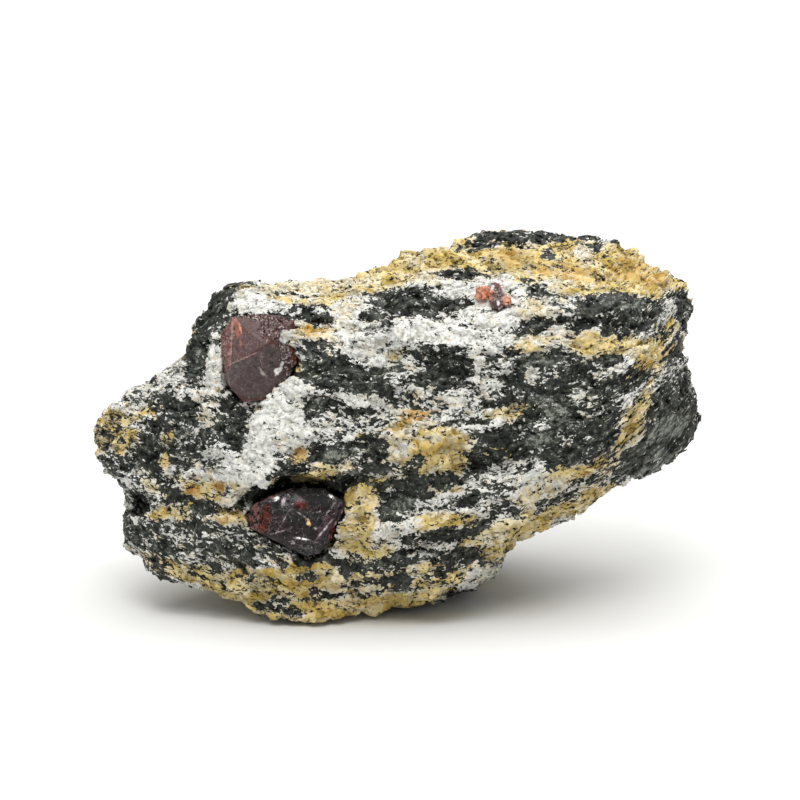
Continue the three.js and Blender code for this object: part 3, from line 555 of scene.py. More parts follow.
SMALL_TINTS = (
    Patch("round grain", Tint.ORANGE, 11.7, 44.8, 2.6, 2.5, 0, 0.3),
    Patch("fragment", Tint.ORANGE, 15.0, 43.9, 1.4, 1.5, 0, 0.5),
    Patch("red edge", Tint.RUSTY, 14.2, 45.8, 1.6, 0.6, -60, 0.6),
    Patch("frost between them", Tint.FROST, 13.3, 44.5, 0.8, 2.2, 10, 0.8),
    Patch("feldspar over the round grain", Tint.FELDSPAR, 11.7, 46.0, 1.8, 0.5, 8, 1.2),
    Patch("feldspar over the fragment", Tint.FELDSPAR, 15.1, 45.0, 1.8, 0.5, -50, 1.2),
    Patch("feldspar on the shard", Tint.FELDSPAR, 13.7, 43.6, 0.5, 0.6, 0, 1.0),
    Patch("feldspar on the shard, top", Tint.FELDSPAR, 12.8, 45.6, 0.5, 0.9, -30, 1.2),
)


SHARES = ("dark", "stain", "rust", "grey")


@dataclass
class Makeup:
    """What the stone is made of at each of many places: shares from 0 to 1."""

    dark: np.ndarray
    stain: np.ndarray
    rust: np.ndarray
    grey: np.ndarray

    def lay(self, mineral: Mineral, share: np.ndarray) -> None:
        """Lays a mineral over what is there.

        Args:
            mineral: the mineral.
            share: how much of it covers each place, from 0 to 1.
        """
        for name, value in zip(SHARES, mineral.value):
            old = getattr(self, name)
            setattr(self, name, old + (value - old) * share)


@dataclass(frozen=True)
class Layout:
    """How the minerals of the stone lie: in bands everywhere, and in patches set out one by one on the front.
    """

    warp: Noise = Noise(11)
    bands: Noise = Noise(12)
    streaks: Noise = Noise(13)
    stains: Noise = Noise(14)
    edges: Noise = Noise(15)
    band: Size = (19, 19, 3.4)
    streak: Size = (8, 8, 1.3)
    fleck: Size = (3.2, 3.2, 0.8)
    stain: Size = (16, 16, 4.5)
    quartz: Size = (7, 7, 3)
    warp_size: float = 7.0  # how far apart the bends of the bands are
    warp_rise: float = 0.7  # how high they are
    rust_size: float = 6.0
    edge: Size = (3.4, 3.4, 1.9)  # how the patches' edges stray
    fine_edge: Size = (1.4, 1.4, 0.9)
    mix: Size = (5, 5, 1.1)  # the finer streaks of mica and feldspar, within patches too
    fine_mix: Size = (1.8, 1.8, 0.8)
    tinge: Size = (3, 3, 1.6)  # the stain's own unevenness
    bowl: float = 55.0  # the radius of the bowls that the bands make at w = 0
    middle: float = -4.0  # the u of the bowls' lowest place
    level: float = 45.0  # the w at which the bowls have flattened out
    fall: float = 0.12  # how much the bands fall to the right there, for each millimetre
    dip: float = 0.15  # how much they fall away from the front, for each millimetre
    bend: float = 24.0  # the u from which they turn up to the right
    climb: float = 0.05  # how fast they do

    def band_height(self, front: np.ndarray) -> np.ndarray:
        """Tells which band each place lies in, by the height that a band has at the middle of the front.

        The bands are bowls at the foot, nearly level at the top, and steep at the right end.

        Args:
            front: places as u, v, w.

        Returns:
            The band's height at each place, in millimetres.
        """
        u, v, w = front.T
        high = np.clip(w / self.level, 0, 1)
        bowl = (1 - high) * (u - self.middle) ** 2 / (2 * self.bowl)
        steep = self.climb * np.clip(u - self.bend, 0, None) ** 2
        return w - bowl + self.fall * high * u + self.dip * v - steep

    def flow(self, front: np.ndarray) -> np.ndarray:
        """The places as u, v and band height, so that a pattern drawn in them follows the bands."""
        height = self.band_height(front) + self.warp_rise * self.warp(front, self.warp_size)
        return np.stack([front[:, 0], front[:, 1], height], axis=1)

    def makeup(self, front: np.ndarray, facing: np.ndarray) -> Makeup:
        """Tells what the stone is made of.

        Args:
            front: places as u, v, w.
            facing: how squarely each place faces the front, from -1 to 1.

        Returns:
            The shares at each place.
        """
        flow = self.flow(front)
        made = self.banded(flow, front)
        stray = 0.85 * self.edges(flow, self.edge) + 0.65 * self.edges(flow + 9, self.fine_edge)
        seen = smoothstep(-0.15, 0.05, facing)
        for patch in PATCHES:
            made.lay(patch.kind, patch.cover(front, stray) * seen)
        mixed = 0.30 * self.streaks(flow + 90, self.mix) + 0.14 * self.streaks(flow + 130, self.fine_mix)
        made.dark = np.clip(made.dark + mixed, 0, 1)
        made.stain = np.clip(made.stain + 0.25 * self.stains(flow + 150, self.tinge), 0, 1)
        return made

    def banded(self, flow: np.ndarray, front: np.ndarray) -> Makeup:
        """Tells the makeup without the patches: bands of mica, stained most at the foot and the top.

        Args:
            flow: places in the bands.
            front: the same places as u, v, w.

        Returns:
            The shares at each place.
        """
        wide, fine = self.bands(flow, self.band), self.streaks(flow, self.streak)
        small = self.streaks(flow + 40, self.fleck)
        dark = smoothstep(-0.48, 0.44, 0.9 * wide + 0.5 * fine + 0.35 * small)
        ends = smoothstep(20, 4, front[:, 2]) + smoothstep(42, 48, front[:, 2])
        stain = smoothstep(-0.1, 0.35, self.stains(flow, self.stain) + 0.5 * ends - 0.12)
        rust = 0.5 * stain * smoothstep(0.2, 0.6, self.stains(front + 30, self.rust_size))
        grey = smoothstep(0.1, 0.5, self.stains(flow + 70, self.quartz)) * (1 - stain)
        return Makeup(0.06 + 0.9 * dark, stain, rust, 0.6 * grey)

    def store_on(self, mesh: bpy.types.Mesh, front: np.ndarray, facing: np.ndarray) -> None:
        """Stores on a mesh what its material reads: each vertex's place in the bands, and its minerals.

        Args:
            mesh: the mesh.
            front: its vertices as u, v, w.
            facing: how squarely each one faces the front, from -1 to 1.
        """
        made = self.makeup(front, facing)
        store(mesh, "flow", self.flow(front))
        for name in SHARES:
            store(mesh, name, getattr(made, name))


LAYOUT = Layout()


# ---- Meshes ----


def select_only(piece: bpy.types.Object) -> None:
    """Deselects everything, then selects one piece and makes it the active one.

    Args:
        piece: the piece.
    """
    bpy.ops.object.select_all(action="DESELECT")
    piece.select_set(True)
    bpy.context.view_layer.objects.active = piece


def apply_modifier(piece: bpy.types.Object, kind: str, **settings: Any) -> None:
    """Adds a modifier to a piece and applies it.

    Args:
        piece: the piece.
        kind: the modifier's type.
        settings: its settings.
    """
    select_only(piece)
    modifier = piece.modifiers.new(kind.title(), kind)
    for name, value in settings.items():
        setattr(modifier, name, value)
    bpy.ops.object.modifier_apply(modifier=modifier.name)


def copy_of_node(node: str, name: str) -> bpy.types.Object:
    """Copies a CAD node as a new piece, with its loose triangles merged.

    Args:
        node: the CAD node.
        name: the new piece's name.

    Returns:
        The new piece.
    """
    piece = bpy.data.objects.new(name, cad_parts[node].data.copy())
    piece.data.materials.clear()
    bpy.context.scene.collection.objects.link(piece)
    select_only(piece)
    bpy.ops.mesh.customdata_custom_splitnormals_clear()
    bpy.ops.object.mode_set(mode="EDIT")
    bpy.ops.mesh.select_all(action="SELECT")
    bpy.ops.mesh.remove_doubles(threshold=1e-6)
    bpy.ops.object.mode_set(mode="OBJECT")
    return piece


def points_of(piece: bpy.types.Object) -> np.ndarray:
    """Reads the vertices of a piece.

    Args:
        piece: the piece.

    Returns:
        Their places in millimetres, one a line.
    """
    flat = np.empty(len(piece.data.vertices) * 3, np.float32)
    piece.data.vertices.foreach_get("co", flat)
    return flat.reshape(-1, 3).astype(float) / MM


def move_points(piece: bpy.types.Object, points: np.ndarray) -> None:
    """Moves the vertices of a piece, but none of them out of the CAD model's box.

    Args:
        piece: the piece.
        points: their new places, in millimetres.
    """
    low, high = (np.array(corner) / MM for corner in CAD_BOX)
    kept = np.clip(points, low, high)
    piece.data.vertices.foreach_set("co", (kept * MM).astype(np.float32).ravel())
    piece.data.update()


def normals_of(piece: bpy.types.Object) -> np.ndarray:
    """Reads the vertex normals of a piece.

    Args:
        piece: the piece.

    Returns:
        A unit vector for each vertex, one a line.
    """
    flat = np.empty(len(piece.data.vertices) * 3, np.float32)
    piece.data.vertex_normals.foreach_get("vector", flat)
    return flat.reshape(-1, 3).astype(float)


def triangles_of(piece: bpy.types.Object) -> np.ndarray:
    """Reads the triangles of a piece.

    Args:
        piece: the piece.

    Returns:
        The vertex numbers of each one's three corners, one triangle a line.
    """
    piece.data.calc_loop_triangles()
    flat = np.empty(len(piece.data.loop_triangles) * 3, np.int32)
    piece.data.loop_triangles.foreach_get("vertices", flat)
    return flat.reshape(-1, 3)


def store(mesh: bpy.types.Mesh, name: str, values: np.ndarray) -> None:
    """Stores a number, vector or colour for each vertex, which the materials read.

    Args:
        mesh: the mesh.
        name: the attribute's name.
        values: one value for each vertex, or one line of three or four.
    """
    kinds = {1: ("FLOAT", "value"), 3: ("FLOAT_VECTOR", "vector"), 4: ("FLOAT_COLOR", "color")}
    kind, key = kinds[values.shape[1] if values.ndim > 1 else 1]
    attribute = mesh.attributes.new(name, kind, "POINT")
    attribute.data.foreach_set(key, values.astype(np.float32).ravel())


def facing_of(normals: np.ndarray) -> np.ndarray:
    """How squarely each normal faces the front, from -1 to 1."""
    return normals @ np.array([0, -math.cos(FRONT.lean), math.sin(FRONT.lean)])


def dress(piece: bpy.types.Object, material: bpy.types.Material, slot: str, *nodes: str) -> None:
    """Gives a finished piece its material and its body, and hides the CAD nodes that it stands for.

    Args:
        piece: the piece.
        material: its material.
        slot: its slot; not used.
        nodes: the CAD nodes that it stands for.
    """
    piece.data.materials.clear()
    piece.data.materials.append(material)
    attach(piece, "root")
    if nodes:
        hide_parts(*nodes)
    log.info("%s: %d faces", piece.name, len(piece.data.polygons))


# ---- Finishes ----

ADD, SUBTRACT, MULTIPLY, MULTIPLY_ADD, COMPARE = (
    {"operation": name} for name in ("ADD", "SUBTRACT", "MULTIPLY", "MULTIPLY_ADD", "COMPARE")
)
MIX_NUMBERS = {"data_type": "FLOAT"}  # sockets: 0 the share, 2 and 3 the two numbers
MIX_COLOURS = {"data_type": "RGBA"}  # sockets: 0 the share, 6 and 7 the two colours; output 2 the result


def linear(colour: str) -> tuple[float, float, float, float]:
    """Turns an sRGB colour into the linear values that a shader takes.

    Args:
        colour: the colour, such as "#c8a060".

    Returns:
        Its red, green, blue and alpha.
    """
    channels = [int(colour[i : i + 2], 16) / 255 for i in (1, 3, 5)]
    red, green, blue = (c / 12.92 if c <= 0.04045 else ((c + 0.055) / 1.055) ** 2.4 for c in channels)
    return red, green, blue, 1.0


def add_node(
    tree: bpy.types.NodeTree,
    kind: str,
    settings: dict[str, Any] | None = None,
    inputs: dict[str | int, Any] | None = None,
    output: str | int = 0,
) -> bpy.types.NodeSocket:
    """Adds a shader node with its settings and links.

    Args:
        tree: the material's nodes.
        kind: the node's type, without "ShaderNode".
        settings: its settings. "stops" is a colour ramp's list of places and colours.
        inputs: a value or another node's output for each of its sockets.
        output: which of its outputs is wanted.

    Returns:
        That output.
    """
    node = tree.nodes.new("ShaderNode" + kind)
    for name, value in (settings or {}).items():
        if name == "stops":
            elements = node.color_ramp.elements
            while len(elements) < len(value):
                elements.new(0.5)
            for element, (place, colour) in zip(elements, value):
                element.position, element.color = place, linear(colour)
        else:
            setattr(node, name, value)
    for key, value in (inputs or {}).items():
        if isinstance(value, bpy.types.NodeSocket):
            tree.links.new(value, node.inputs[key])
        else:
            node.inputs[key].default_value = value
    return node.outputs[output]


def new_material(name: str) -> tuple[bpy.types.Material, bpy.types.NodeTree, bpy.types.Node]:
    """Makes a material.

    Args:
        name: its name.

    Returns:
        The material, its nodes and its surface shader.
    """
    material = bpy.data.materials.new(name)
    material.use_nodes = True
    tree = material.node_tree
    return material, tree, tree.nodes["Principled BSDF"]


@dataclass(frozen=True)
class Feldspar:
    """The colours of broken feldspar and quartz: milky white, and yellow to rust where iron stained it."""

    white: tuple[str, ...] = ("#a6a7a1", "#dfdfd9", "#ecebe4", "#f4f3ed")
    quartz: tuple[str, ...] = ("#6c7071", "#999c9b", "#bfc1bd", "#dcddd8")
    yellow: tuple[str, ...] = ("#705f2e", "#c1a856", "#ddc783", "#ebe0bc")
    rust: tuple[str, ...] = ("#5c3f1e", "#9c6a2c", "#c98e40", "#dfb066")

    def colour(
        self,
        tree: bpy.types.NodeTree,
        tone: bpy.types.NodeSocket,
        stain: bpy.types.NodeSocket,
        rust: bpy.types.NodeSocket,
        grey: bpy.types.NodeSocket,
    ) -> bpy.types.NodeSocket:
        """Builds the colour.

        Args:
            tree: the material's nodes.
            tone: how pale each grain is, from 0 to 1.
            stain: the share of yellow stain.
            rust: the share of rust.
            grey: the share of grey quartz.

        Returns:
            The output with the colour.
        """
        places = (0.0, 0.34, 0.66, 1.0)
        ramps = [
            add_node(tree, "ValToRGB", {"stops": list(zip(places, stops))}, {"Fac": tone})
            for stops in (self.white, self.quartz, self.yellow, self.rust)
        ]
        colour = ramps[0]
        for share, ramp in zip((grey, stain, rust), ramps[1:]):
            colour = add_node(tree, "Mix", MIX_COLOURS, {0: share, 6: colour, 7: ramp}, 2)
        return colour


@dataclass(frozen=True)
class BandedGneiss:
    """Biotite gneiss, broken by hand.

    Mica and feldspar are grown together in ragged flecks and wavy lines a few tenths of a millimetre wide,
    which run along the bands. Feldspar breaks chalky and dull, and mica keeps a satin sheen on its cleavage.
    All sizes are in millimetres.
    """

    feldspar: Feldspar = Feldspar()
    # from dull mica to a painted satin sheen on cleavage faces
    mica: tuple[str, ...] = ("#090b08", "#1e211c", "#3c3f37", "#8a8d83")
    fleck: Size = (1.6, 1.6, 0.9)
    speck: Size = (0.62, 0.62, 0.42)
    line: Size = (5.0, 5.0, 1.3)
    grain: Size = (0.9, 0.9, 0.6)
    lump: float = 2.4  # the larger grains of stained feldspar
    sway: float = 1.1  # how far apart the flecks' bends are
    # spots of painted sheen
    sheet: float = 1.1  # the satin and dull spots of the mica
    cloud: float = 0.77  # the milky and clear spots of the feldspar
    blot: float = 1.1  # the edges of the stains
    grit: float = 0.38  # the bumps that are too small for the mesh
    cut: tuple[float, float] = (1.087, 1.103)  # where the summed noises turn from feldspar to mica

    def material(self) -> bpy.types.Material:
        """Builds the material.

        Returns:
            The material.
        """
        material, tree, shader = new_material("biotite gneiss, broken")
        flow = add_node(tree, "Attribute", {"attribute_name": "flow"}, output="Vector")
        shares = {
            name: add_node(tree, "Attribute", {"attribute_name": name}, output="Fac") for name in SHARES
        }
        is_mica = self.mica_pattern(tree, flow, shares["dark"])
        dark = self.mica_colour(tree, flow, shares["grey"])
        pale, fall = self.pale_colour(tree, flow, shares)
        colour = add_node(tree, "Mix", MIX_COLOURS, {0: is_mica, 6: pale, 7: dark}, 2)
        tree.links.new(colour, shader.inputs["Base Color"])
        rough = add_node(tree, "MapRange", inputs={"Value": is_mica, "To Min": 0.75, "To Max": 0.42})
        tree.links.new(rough, shader.inputs["Roughness"])
        shader.inputs["Specular IOR Level"].default_value = 0.25

        noise = {"Vector": flow, "Scale": 1 / self.grit, "Detail": 4.0, "Roughness": 0.7}
        grit = add_node(tree, "TexNoise", inputs=noise)
        raised = add_node(tree, "Math", SUBTRACT, {0: grit, 1: fall})
        calm = add_node(tree, "MapRange", inputs={"Value": shares["grey"], "To Min": 0.38, "To Max": 0.08})
        smooth = add_node(tree, "Math", MULTIPLY, {0: grit, 1: calm})
        height = add_node(tree, "Mix", MIX_NUMBERS, {0: is_mica, 2: raised, 3: smooth})
        bump = add_node(tree, "Bump", inputs={"Strength": 0.7, "Distance": 0.3 * MM, "Height": height})
        tree.links.new(bump, shader.inputs["Normal"])
        return material

    def mica_pattern(
        self, tree: bpy.types.NodeTree, flow: bpy.types.NodeSocket, share: bpy.types.NodeSocket
    ) -> bpy.types.NodeSocket:
        """Builds the ragged flecks and wavy lines of mica: 1 on mica, 0 on feldspar.

        Args:
            tree: the material's nodes.
            flow: the place in the bands.
            share: how much of the stone is mica there.

        Returns:
            The output with the pattern.
        """
        noise = {"Vector": flow, "Scale": 1 / self.sway, "Detail": 4.0}
        sway = add_node(tree, "TexNoise", inputs=noise, output="Color")
        bent = add_node(tree, "VectorMath", MULTIPLY_ADD, {0: sway, 1: (1.3, 1.3, 0.8), 2: flow})
        levels = []
        for size, detail in ((self.fleck, 3.0), (self.speck, 1.0), (self.line, 2.0)):
            scale = tuple(1 / length for length in size)
            place = add_node(tree, "Mapping", inputs={"Vector": bent, "Scale": scale})
            noise = {"Vector": place, "Scale": 1.0, "Detail": detail, "Roughness": 0.7}
            levels.append(add_node(tree, "TexNoise", inputs=noise))
        flecks, specks, waves = levels
        lines = add_node(tree, "Math", COMPARE, {0: waves, 1: 0.5, 2: 0.012})
        ragged = add_node(tree, "Math", MULTIPLY_ADD, {0: specks, 1: 0.75, 2: flecks})
        lined = add_node(tree, "Math", MULTIPLY_ADD, {0: lines, 1: 0.15, 2: ragged})
        lead = add_node(tree, "Math", MULTIPLY_ADD, {0: share, 1: 0.44, 2: lined})
        low, high = self.cut
        return add_node(tree, "MapRange", inputs={"Value": lead, "From Min": low, "From Max": high})

    def mica_colour(
        self, tree: bpy.types.NodeTree, flow: bpy.types.NodeSocket, satin: bpy.types.NodeSocket
    ) -> bpy.types.NodeSocket:
        """Builds the colour of mica, from dull to a satin sheen, which is painted as a lighter grey.

        Args:
            tree: the material's nodes.
            flow: the place in the bands.
            satin: the share of large cleavage faces, which get the painted sheen.

        Returns:
            The output with the colour.
        """
        noise = {"Vector": flow, "Scale": 1 / self.sheet, "Detail": 4.0, "Roughness": 0.85}
        sheets = add_node(tree, "TexNoise", inputs=noise)
        spread = add_node(tree, "MapRange", inputs={"Value": sheets, "From Min": 0.36, "From Max": 0.70})
        # painted sheen: the tone rises on cleavage faces and in random spots
        tone = add_node(tree, "Math", MULTIPLY_ADD, {0: satin, 1: 0.36, 2: spread})
        stops = list(zip((0.0, 0.35, 0.7, 1.0), self.mica))
        return add_node(tree, "ValToRGB", {"stops": stops}, {"Fac": tone})

    def pale_colour(
        self, tree: bpy.types.NodeTree, flow: bpy.types.NodeSocket, shares: dict[str, bpy.types.NodeSocket]
    ) -> tuple[bpy.types.NodeSocket, bpy.types.NodeSocket]:
        """Builds the colour of the feldspar and quartz between the mica.

        Args:
            tree: the material's nodes.
            flow: the place in the bands.
            shares: the shares of each mineral and stain.

        Returns:
            The outputs with the colour, and with how far each place lies under the top of its grain.
        """
        scale = tuple(1 / length for length in self.grain)
        place = add_node(tree, "Mapping", inputs={"Vector": flow, "Scale": scale})
        distance = add_node(tree, "TexVoronoi", inputs={"Vector": place, "Scale": 1.0}, output="Distance")
        grain = add_node(tree, "SeparateColor", inputs={0: distance.node.outputs["Color"]})
        lumps = add_node(tree, "TexVoronoi", inputs={"Vector": flow, "Scale": 1 / self.lump}, output="Color")
        lump = add_node(tree, "SeparateColor", inputs={0: lumps})
        noise = {"Vector": flow, "Scale": 1 / self.cloud, "Detail": 4.0, "Roughness": 0.8}
        cloud = add_node(tree, "TexNoise", inputs=noise)
        spread = add_node(tree, "MapRange", inputs={"Value": cloud, "From Min": 0.33, "From Max": 0.67})
        even = add_node(tree, "Mix", MIX_NUMBERS, {0: 0.3, 2: spread, 3: grain})
        weight = add_node(tree, "Math", MULTIPLY_ADD, {0: shares["stain"], 1: 0.35, 2: 0.25})
        tone = add_node(tree, "Mix", MIX_NUMBERS, {0: weight, 2: even, 3: lump})
        noise = {"Vector": flow, "Scale": 1 / self.blot, "Detail": 4.0, "Roughness": 0.6}
        blots = add_node(tree, "TexNoise", inputs=noise)
        covers = []
        for name in ("stain", "rust"):
            over = add_node(tree, "Math", MULTIPLY_ADD, {0: grain, 1: 0.3, 2: shares[name]})
            over = add_node(tree, "Math", MULTIPLY_ADD, {0: lump.node.outputs[1], 1: 0.3, 2: over})
            over = add_node(tree, "Math", ADD, {0: over, 1: blots})
            spread = {"Value": over, "From Min": 0.95, "From Max": 1.8}
            covers.append(add_node(tree, "MapRange", inputs=spread))
        grey = add_node(tree, "Math", MULTIPLY, {0: shares["grey"], 1: grain.node.outputs[2]})
        half = add_node(tree, "Math", MULTIPLY, {0: distance, 1: 0.5})
        rounded = add_node(tree, "Math", MULTIPLY, {0: lumps.node.outputs["Distance"], 1: shares["stain"]})
        fall = add_node(tree, "Math", MULTIPLY_ADD, {0: rounded, 1: 1.3, 2: half})
        return self.feldspar.colour(tree, tone, *covers, grey), fall


@dataclass(frozen=True)
class ZirconGlass:
    """Zircon: a hard, glassy crystal, with a gloss where it is whole, and tinted by what lies inside it."""

    name: str
    clear: float  # how much light goes in
    absorbs: str
    density: float  # how fast it is absorbed, for each metre
    gloss: float = 0.25
    mottle: float = 0.6  # how much the clouds darken and lighten the tint
    blur: float = 0.18  # half the range of the clouds
    frost: str = "#c2b2ad"
    cloud: float = 0.62  # millimetres across the clouds inside
    speck: float = 0.3  # millimetres across a speck of frost
    crack: float = 1.8  # millimetres between the fine inner cracks
    refraction: float = 1.93

    def material(self) -> bpy.types.Material:
        """Builds the material.

        Returns:
            The material.
        """
        material, tree, shader = new_material(self.name)
        front = add_node(tree, "Attribute", {"attribute_name": "front"}, output="Vector")
        noise = {"Vector": front, "Scale": 1 / self.cloud, "Detail": 5.0, "Roughness": 0.7}
        cloud = add_node(tree, "TexNoise", inputs=noise)
        spread = {"From Min": 0.5 - self.blur, "From Max": 0.5 + self.blur, "To Min": 1 - self.mottle}
        level = add_node(tree, "MapRange", inputs={"Value": cloud, "To Max": 1 + self.mottle, **spread})
        tint = add_node(tree, "Attribute", {"attribute_name": "tint"}, output="Color")
        multiply = {**MIX_COLOURS, "blend_type": "MULTIPLY"}
        shade = add_node(tree, "Mix", multiply, {0: 1.0, 6: tint, 7: level}, 2)
        pale = self.frosting(tree, front)
        frosted = add_node(tree, "Mix", MIX_COLOURS, {0: pale, 6: shade, 7: linear(self.frost)}, 2)
        tree.links.new(frosted, shader.inputs["Base Color"])
        rough = add_node(tree, "Attribute", {"attribute_name": "roughness"}, output="Fac")
        tree.links.new(rough, shader.inputs["Roughness"])
        shader.inputs["IOR"].default_value = self.refraction
        shader.inputs["Specular IOR Level"].default_value = self.gloss
        shader.inputs["Transmission Weight"].default_value = self.clear
        bump = add_node(tree, "Bump", inputs={"Strength": 0.6, "Distance": 0.05 * MM, "Height": cloud})
        tree.links.new(bump, shader.inputs["Normal"])
        inside = {"Color": linear(self.absorbs), "Density": self.density}
        depth = add_node(tree, "VolumeAbsorption", inputs=inside)
        tree.links.new(depth, tree.nodes["Material Output"].inputs["Volume"])
        return material

    def frosting(self, tree: bpy.types.NodeTree, front: bpy.types.NodeSocket) -> bpy.types.NodeSocket:
        """Builds the share of pale specks, where the surface is frosted, and of fine cracks.

        Args:
            tree: the material's nodes.
            front: the place in the front frame.

        Returns:
            The output with the share.
        """
        noise = {"Vector": front, "Scale": 1 / self.speck, "Detail": 3.0, "Roughness": 0.7}
        specks = add_node(tree, "TexNoise", inputs=noise)
        frost = add_node(tree, "Attribute", {"attribute_name": "frost"}, output="Fac")
        lead = add_node(tree, "Math", MULTIPLY_ADD, {0: frost, 1: 0.2, 2: specks})
        spread = {"From Min": 0.66, "From Max": 0.71, "To Max": 0.85}
        dots = add_node(tree, "MapRange", inputs={"Value": lead, **spread})
        noise = {"Vector": front, "Scale": 1 / self.crack, "Detail": 3.0, "Roughness": 0.6}
        waves = add_node(tree, "TexNoise", inputs=noise)
        cracks = add_node(tree, "Math", COMPARE, {0: waves, 1: 0.5, 2: 0.006})
        clamped = {**MULTIPLY_ADD, "use_clamp": True}
        return add_node(tree, "Math", clamped, {0: cracks, 1: 0.22, 2: dots})


@dataclass(frozen=True)
class MattPaper:
    """Matt white background paper, which gives a soft pale ground with no gloss."""

    colour: str = "#dfdfdd"

    def material(self) -> bpy.types.Material:
        """Builds the material.

        Returns:
            The material.
        """
        material, _, shader = new_material("background paper, matt")
        shader.inputs["Base Color"].default_value = linear(self.colour)
        shader.inputs["Roughness"].default_value = 0.9
        shader.inputs["Specular IOR Level"].default_value = 0.1
        return material


# ---- The block ----


@dataclass(frozen=True)
class Facets:
    """The flat tops of grains, sheets or chips, each leaning its own way, and the gaps between them."""

    cells: Cells
    size: Size
    rise: float  # how high the tops stand
    gap_depth: float
    gap_width: float  # as a share of their size

    def __call__(self, points: np.ndarray) -> np.ndarray:
        """How far each place stands out, in millimetres."""
        top, gap = self.cells(points, self.size)
        return self.rise * top - self.gap_depth * smoothstep(self.gap_width, 0.0, gap)


@dataclass
class Block:
    """The broken block of gneiss: its CAD solid with the ledges, grains and cleavage faces of its bands.

    Sizes are in millimetres.
    """

    voxel: float = 0.42  # the side of a cube of its new mesh
    triangles: int = 195000  # how many triangles the block is thinned to; under the 200,000 that a piece may have
    ledge_spacing: float = 2.4
    ledge_rise: float = 0.6
    ledge_climb: float = 0.75  # the share of each ledge that climbs, before it drops
    ledge_sway: Size = (9, 9, 4)
    ledge_fade: float = 13.0  # how far apart the places are where the ledges fade
    crack_depth: float = 0.7
    crack_sway: Size = (10, 10, 2.6)
    crack_fade: float = 6.0
    edge: Size = (2.2, 2.2, 1.4)  # how the edges of the larger shapes stray
    mica_drop: float = 0.4  # how far pure mica lies under pure feldspar
    sink: float = 0.52  # how far all of it is sunk, so that it keeps the CAD solid's size
    ridges: tuple[tuple[float, float], ...] = ((3.4, 0.42), (1.7, 0.26), (0.85, 0.14))  # size and rise
    lumps: Noise = Noise(21)
    grains: Facets = Facets(Cells(22), (1.3, 1.3, 1.0), rise=0.10, gap_depth=0.20, gap_width=0.25)
    knobs: Facets = Facets(Cells(24), (3.2, 3.2, 2.5), rise=0.25, gap_depth=0.9, gap_width=0.55)
    sheets: Facets = Facets(Cells(23), (5.0, 5.0, 2.4), rise=0.32, gap_depth=0.30, gap_width=0.2)

    def build(self, material: bpy.types.Material) -> bpy.types.Object:
        """Builds and dresses the block.

        Args:
            material: the stone's finish.

        Returns:
            The finished block.
        """
        block = copy_of_node("matrix", "gneiss_block")
        apply_modifier(block, "REMESH", mode="VOXEL", voxel_size=self.voxel * MM)
        apply_modifier(block, "SMOOTH", factor=0.5, iterations=4)
        points, normals = points_of(block), normals_of(block)
        facing = facing_of(normals)
        rise = self.relief(points, FRONT.to_front(points), facing)
        move_points(block, points + normals * rise[:, None])
        LAYOUT.store_on(block.data, FRONT.to_front(points_of(block)), facing)
        apply_modifier(block, "DECIMATE", ratio=self.triangles / len(triangles_of(block)))
        select_only(block)
        bpy.ops.object.shade_smooth()
        dress(block, material, "gneiss", "matrix")
        return block

    def relief(self, points: np.ndarray, front: np.ndarray, facing: np.ndarray) -> np.ndarray:
        """How far the rough surface stands out of the smooth one.

        Args:
            points: places on the smooth surface, in the row frame.
            front: the same places as u, v, w.
            facing: how squarely each one faces the front, from -1 to 1.

        Returns:
            The rise at each place, in millimetres.
        """
        made = LAYOUT.makeup(front, facing)
        flow = LAYOUT.flow(front)
        pale = 1 - made.dark
        rise = self.ledges(points, flow, pale)
        rise -= self.cracks(flow)
        for size, height in self.ridges:
            sharp = 1 - 2 * np.abs(self.lumps(flow + size, (size, size, size * 0.7)))
            rise += height * sharp * (0.2 + 0.8 * pale)
        rise += pale * (1 - made.stain) * self.grains(flow)
        rise += pale * made.stain * self.knobs(flow)
        rise += made.dark * self.sheets(flow)
        rise += self.mica_drop * (0.5 - made.dark)
        stray = 0.5 * self.lumps(flow + 100, self.edge)
        seen = smoothstep(0.0, 0.2, facing)
        for patch in RELIEFS:
            rise += patch.kind.value * patch.cover(front, stray, soft=0.35) * seen
        return rise - self.sink

    def ledges(self, points: np.ndarray, flow: np.ndarray, pale: np.ndarray) -> np.ndarray:
        """Tells how far the ledges of the bands stand out, which come and go, and are lower in mica.

        Args:
            points: places in the row frame.
            flow: the same places in the bands.
            pale: how much of the stone there isn't mica.

        Returns:
            The rise at each place, in millimetres.
        """
        height = flow[:, 2] / self.ledge_spacing + 0.5 * self.lumps(flow, self.ledge_sway)
        phase = height - np.floor(height)
        climb = self.ledge_climb
        ledge = np.where(phase < climb, phase / climb, (1 - phase) / (1 - climb)) - 0.5
        strength = smoothstep(-0.5, 0.5, self.lumps(points, self.ledge_fade))
        return self.ledge_rise * ledge * strength * (0.4 + 0.6 * pale)

    def cracks(self, flow: np.ndarray) -> np.ndarray:
        """The depth of the cracks along the bands at each place, which come and go too."""
        split = smoothstep(0.05, 0.0, np.abs(self.lumps(flow + 60, self.crack_sway)))
        return self.crack_depth * split * smoothstep(-0.1, 0.3, self.lumps(flow + 80, self.crack_fade))


# ---- Grains ----


class GrainShape(Enum):
    """The shapes that grains break into."""

    BLOCK = "a cleaved block of feldspar"
    FLAKE = "a five-sided flake of mica"


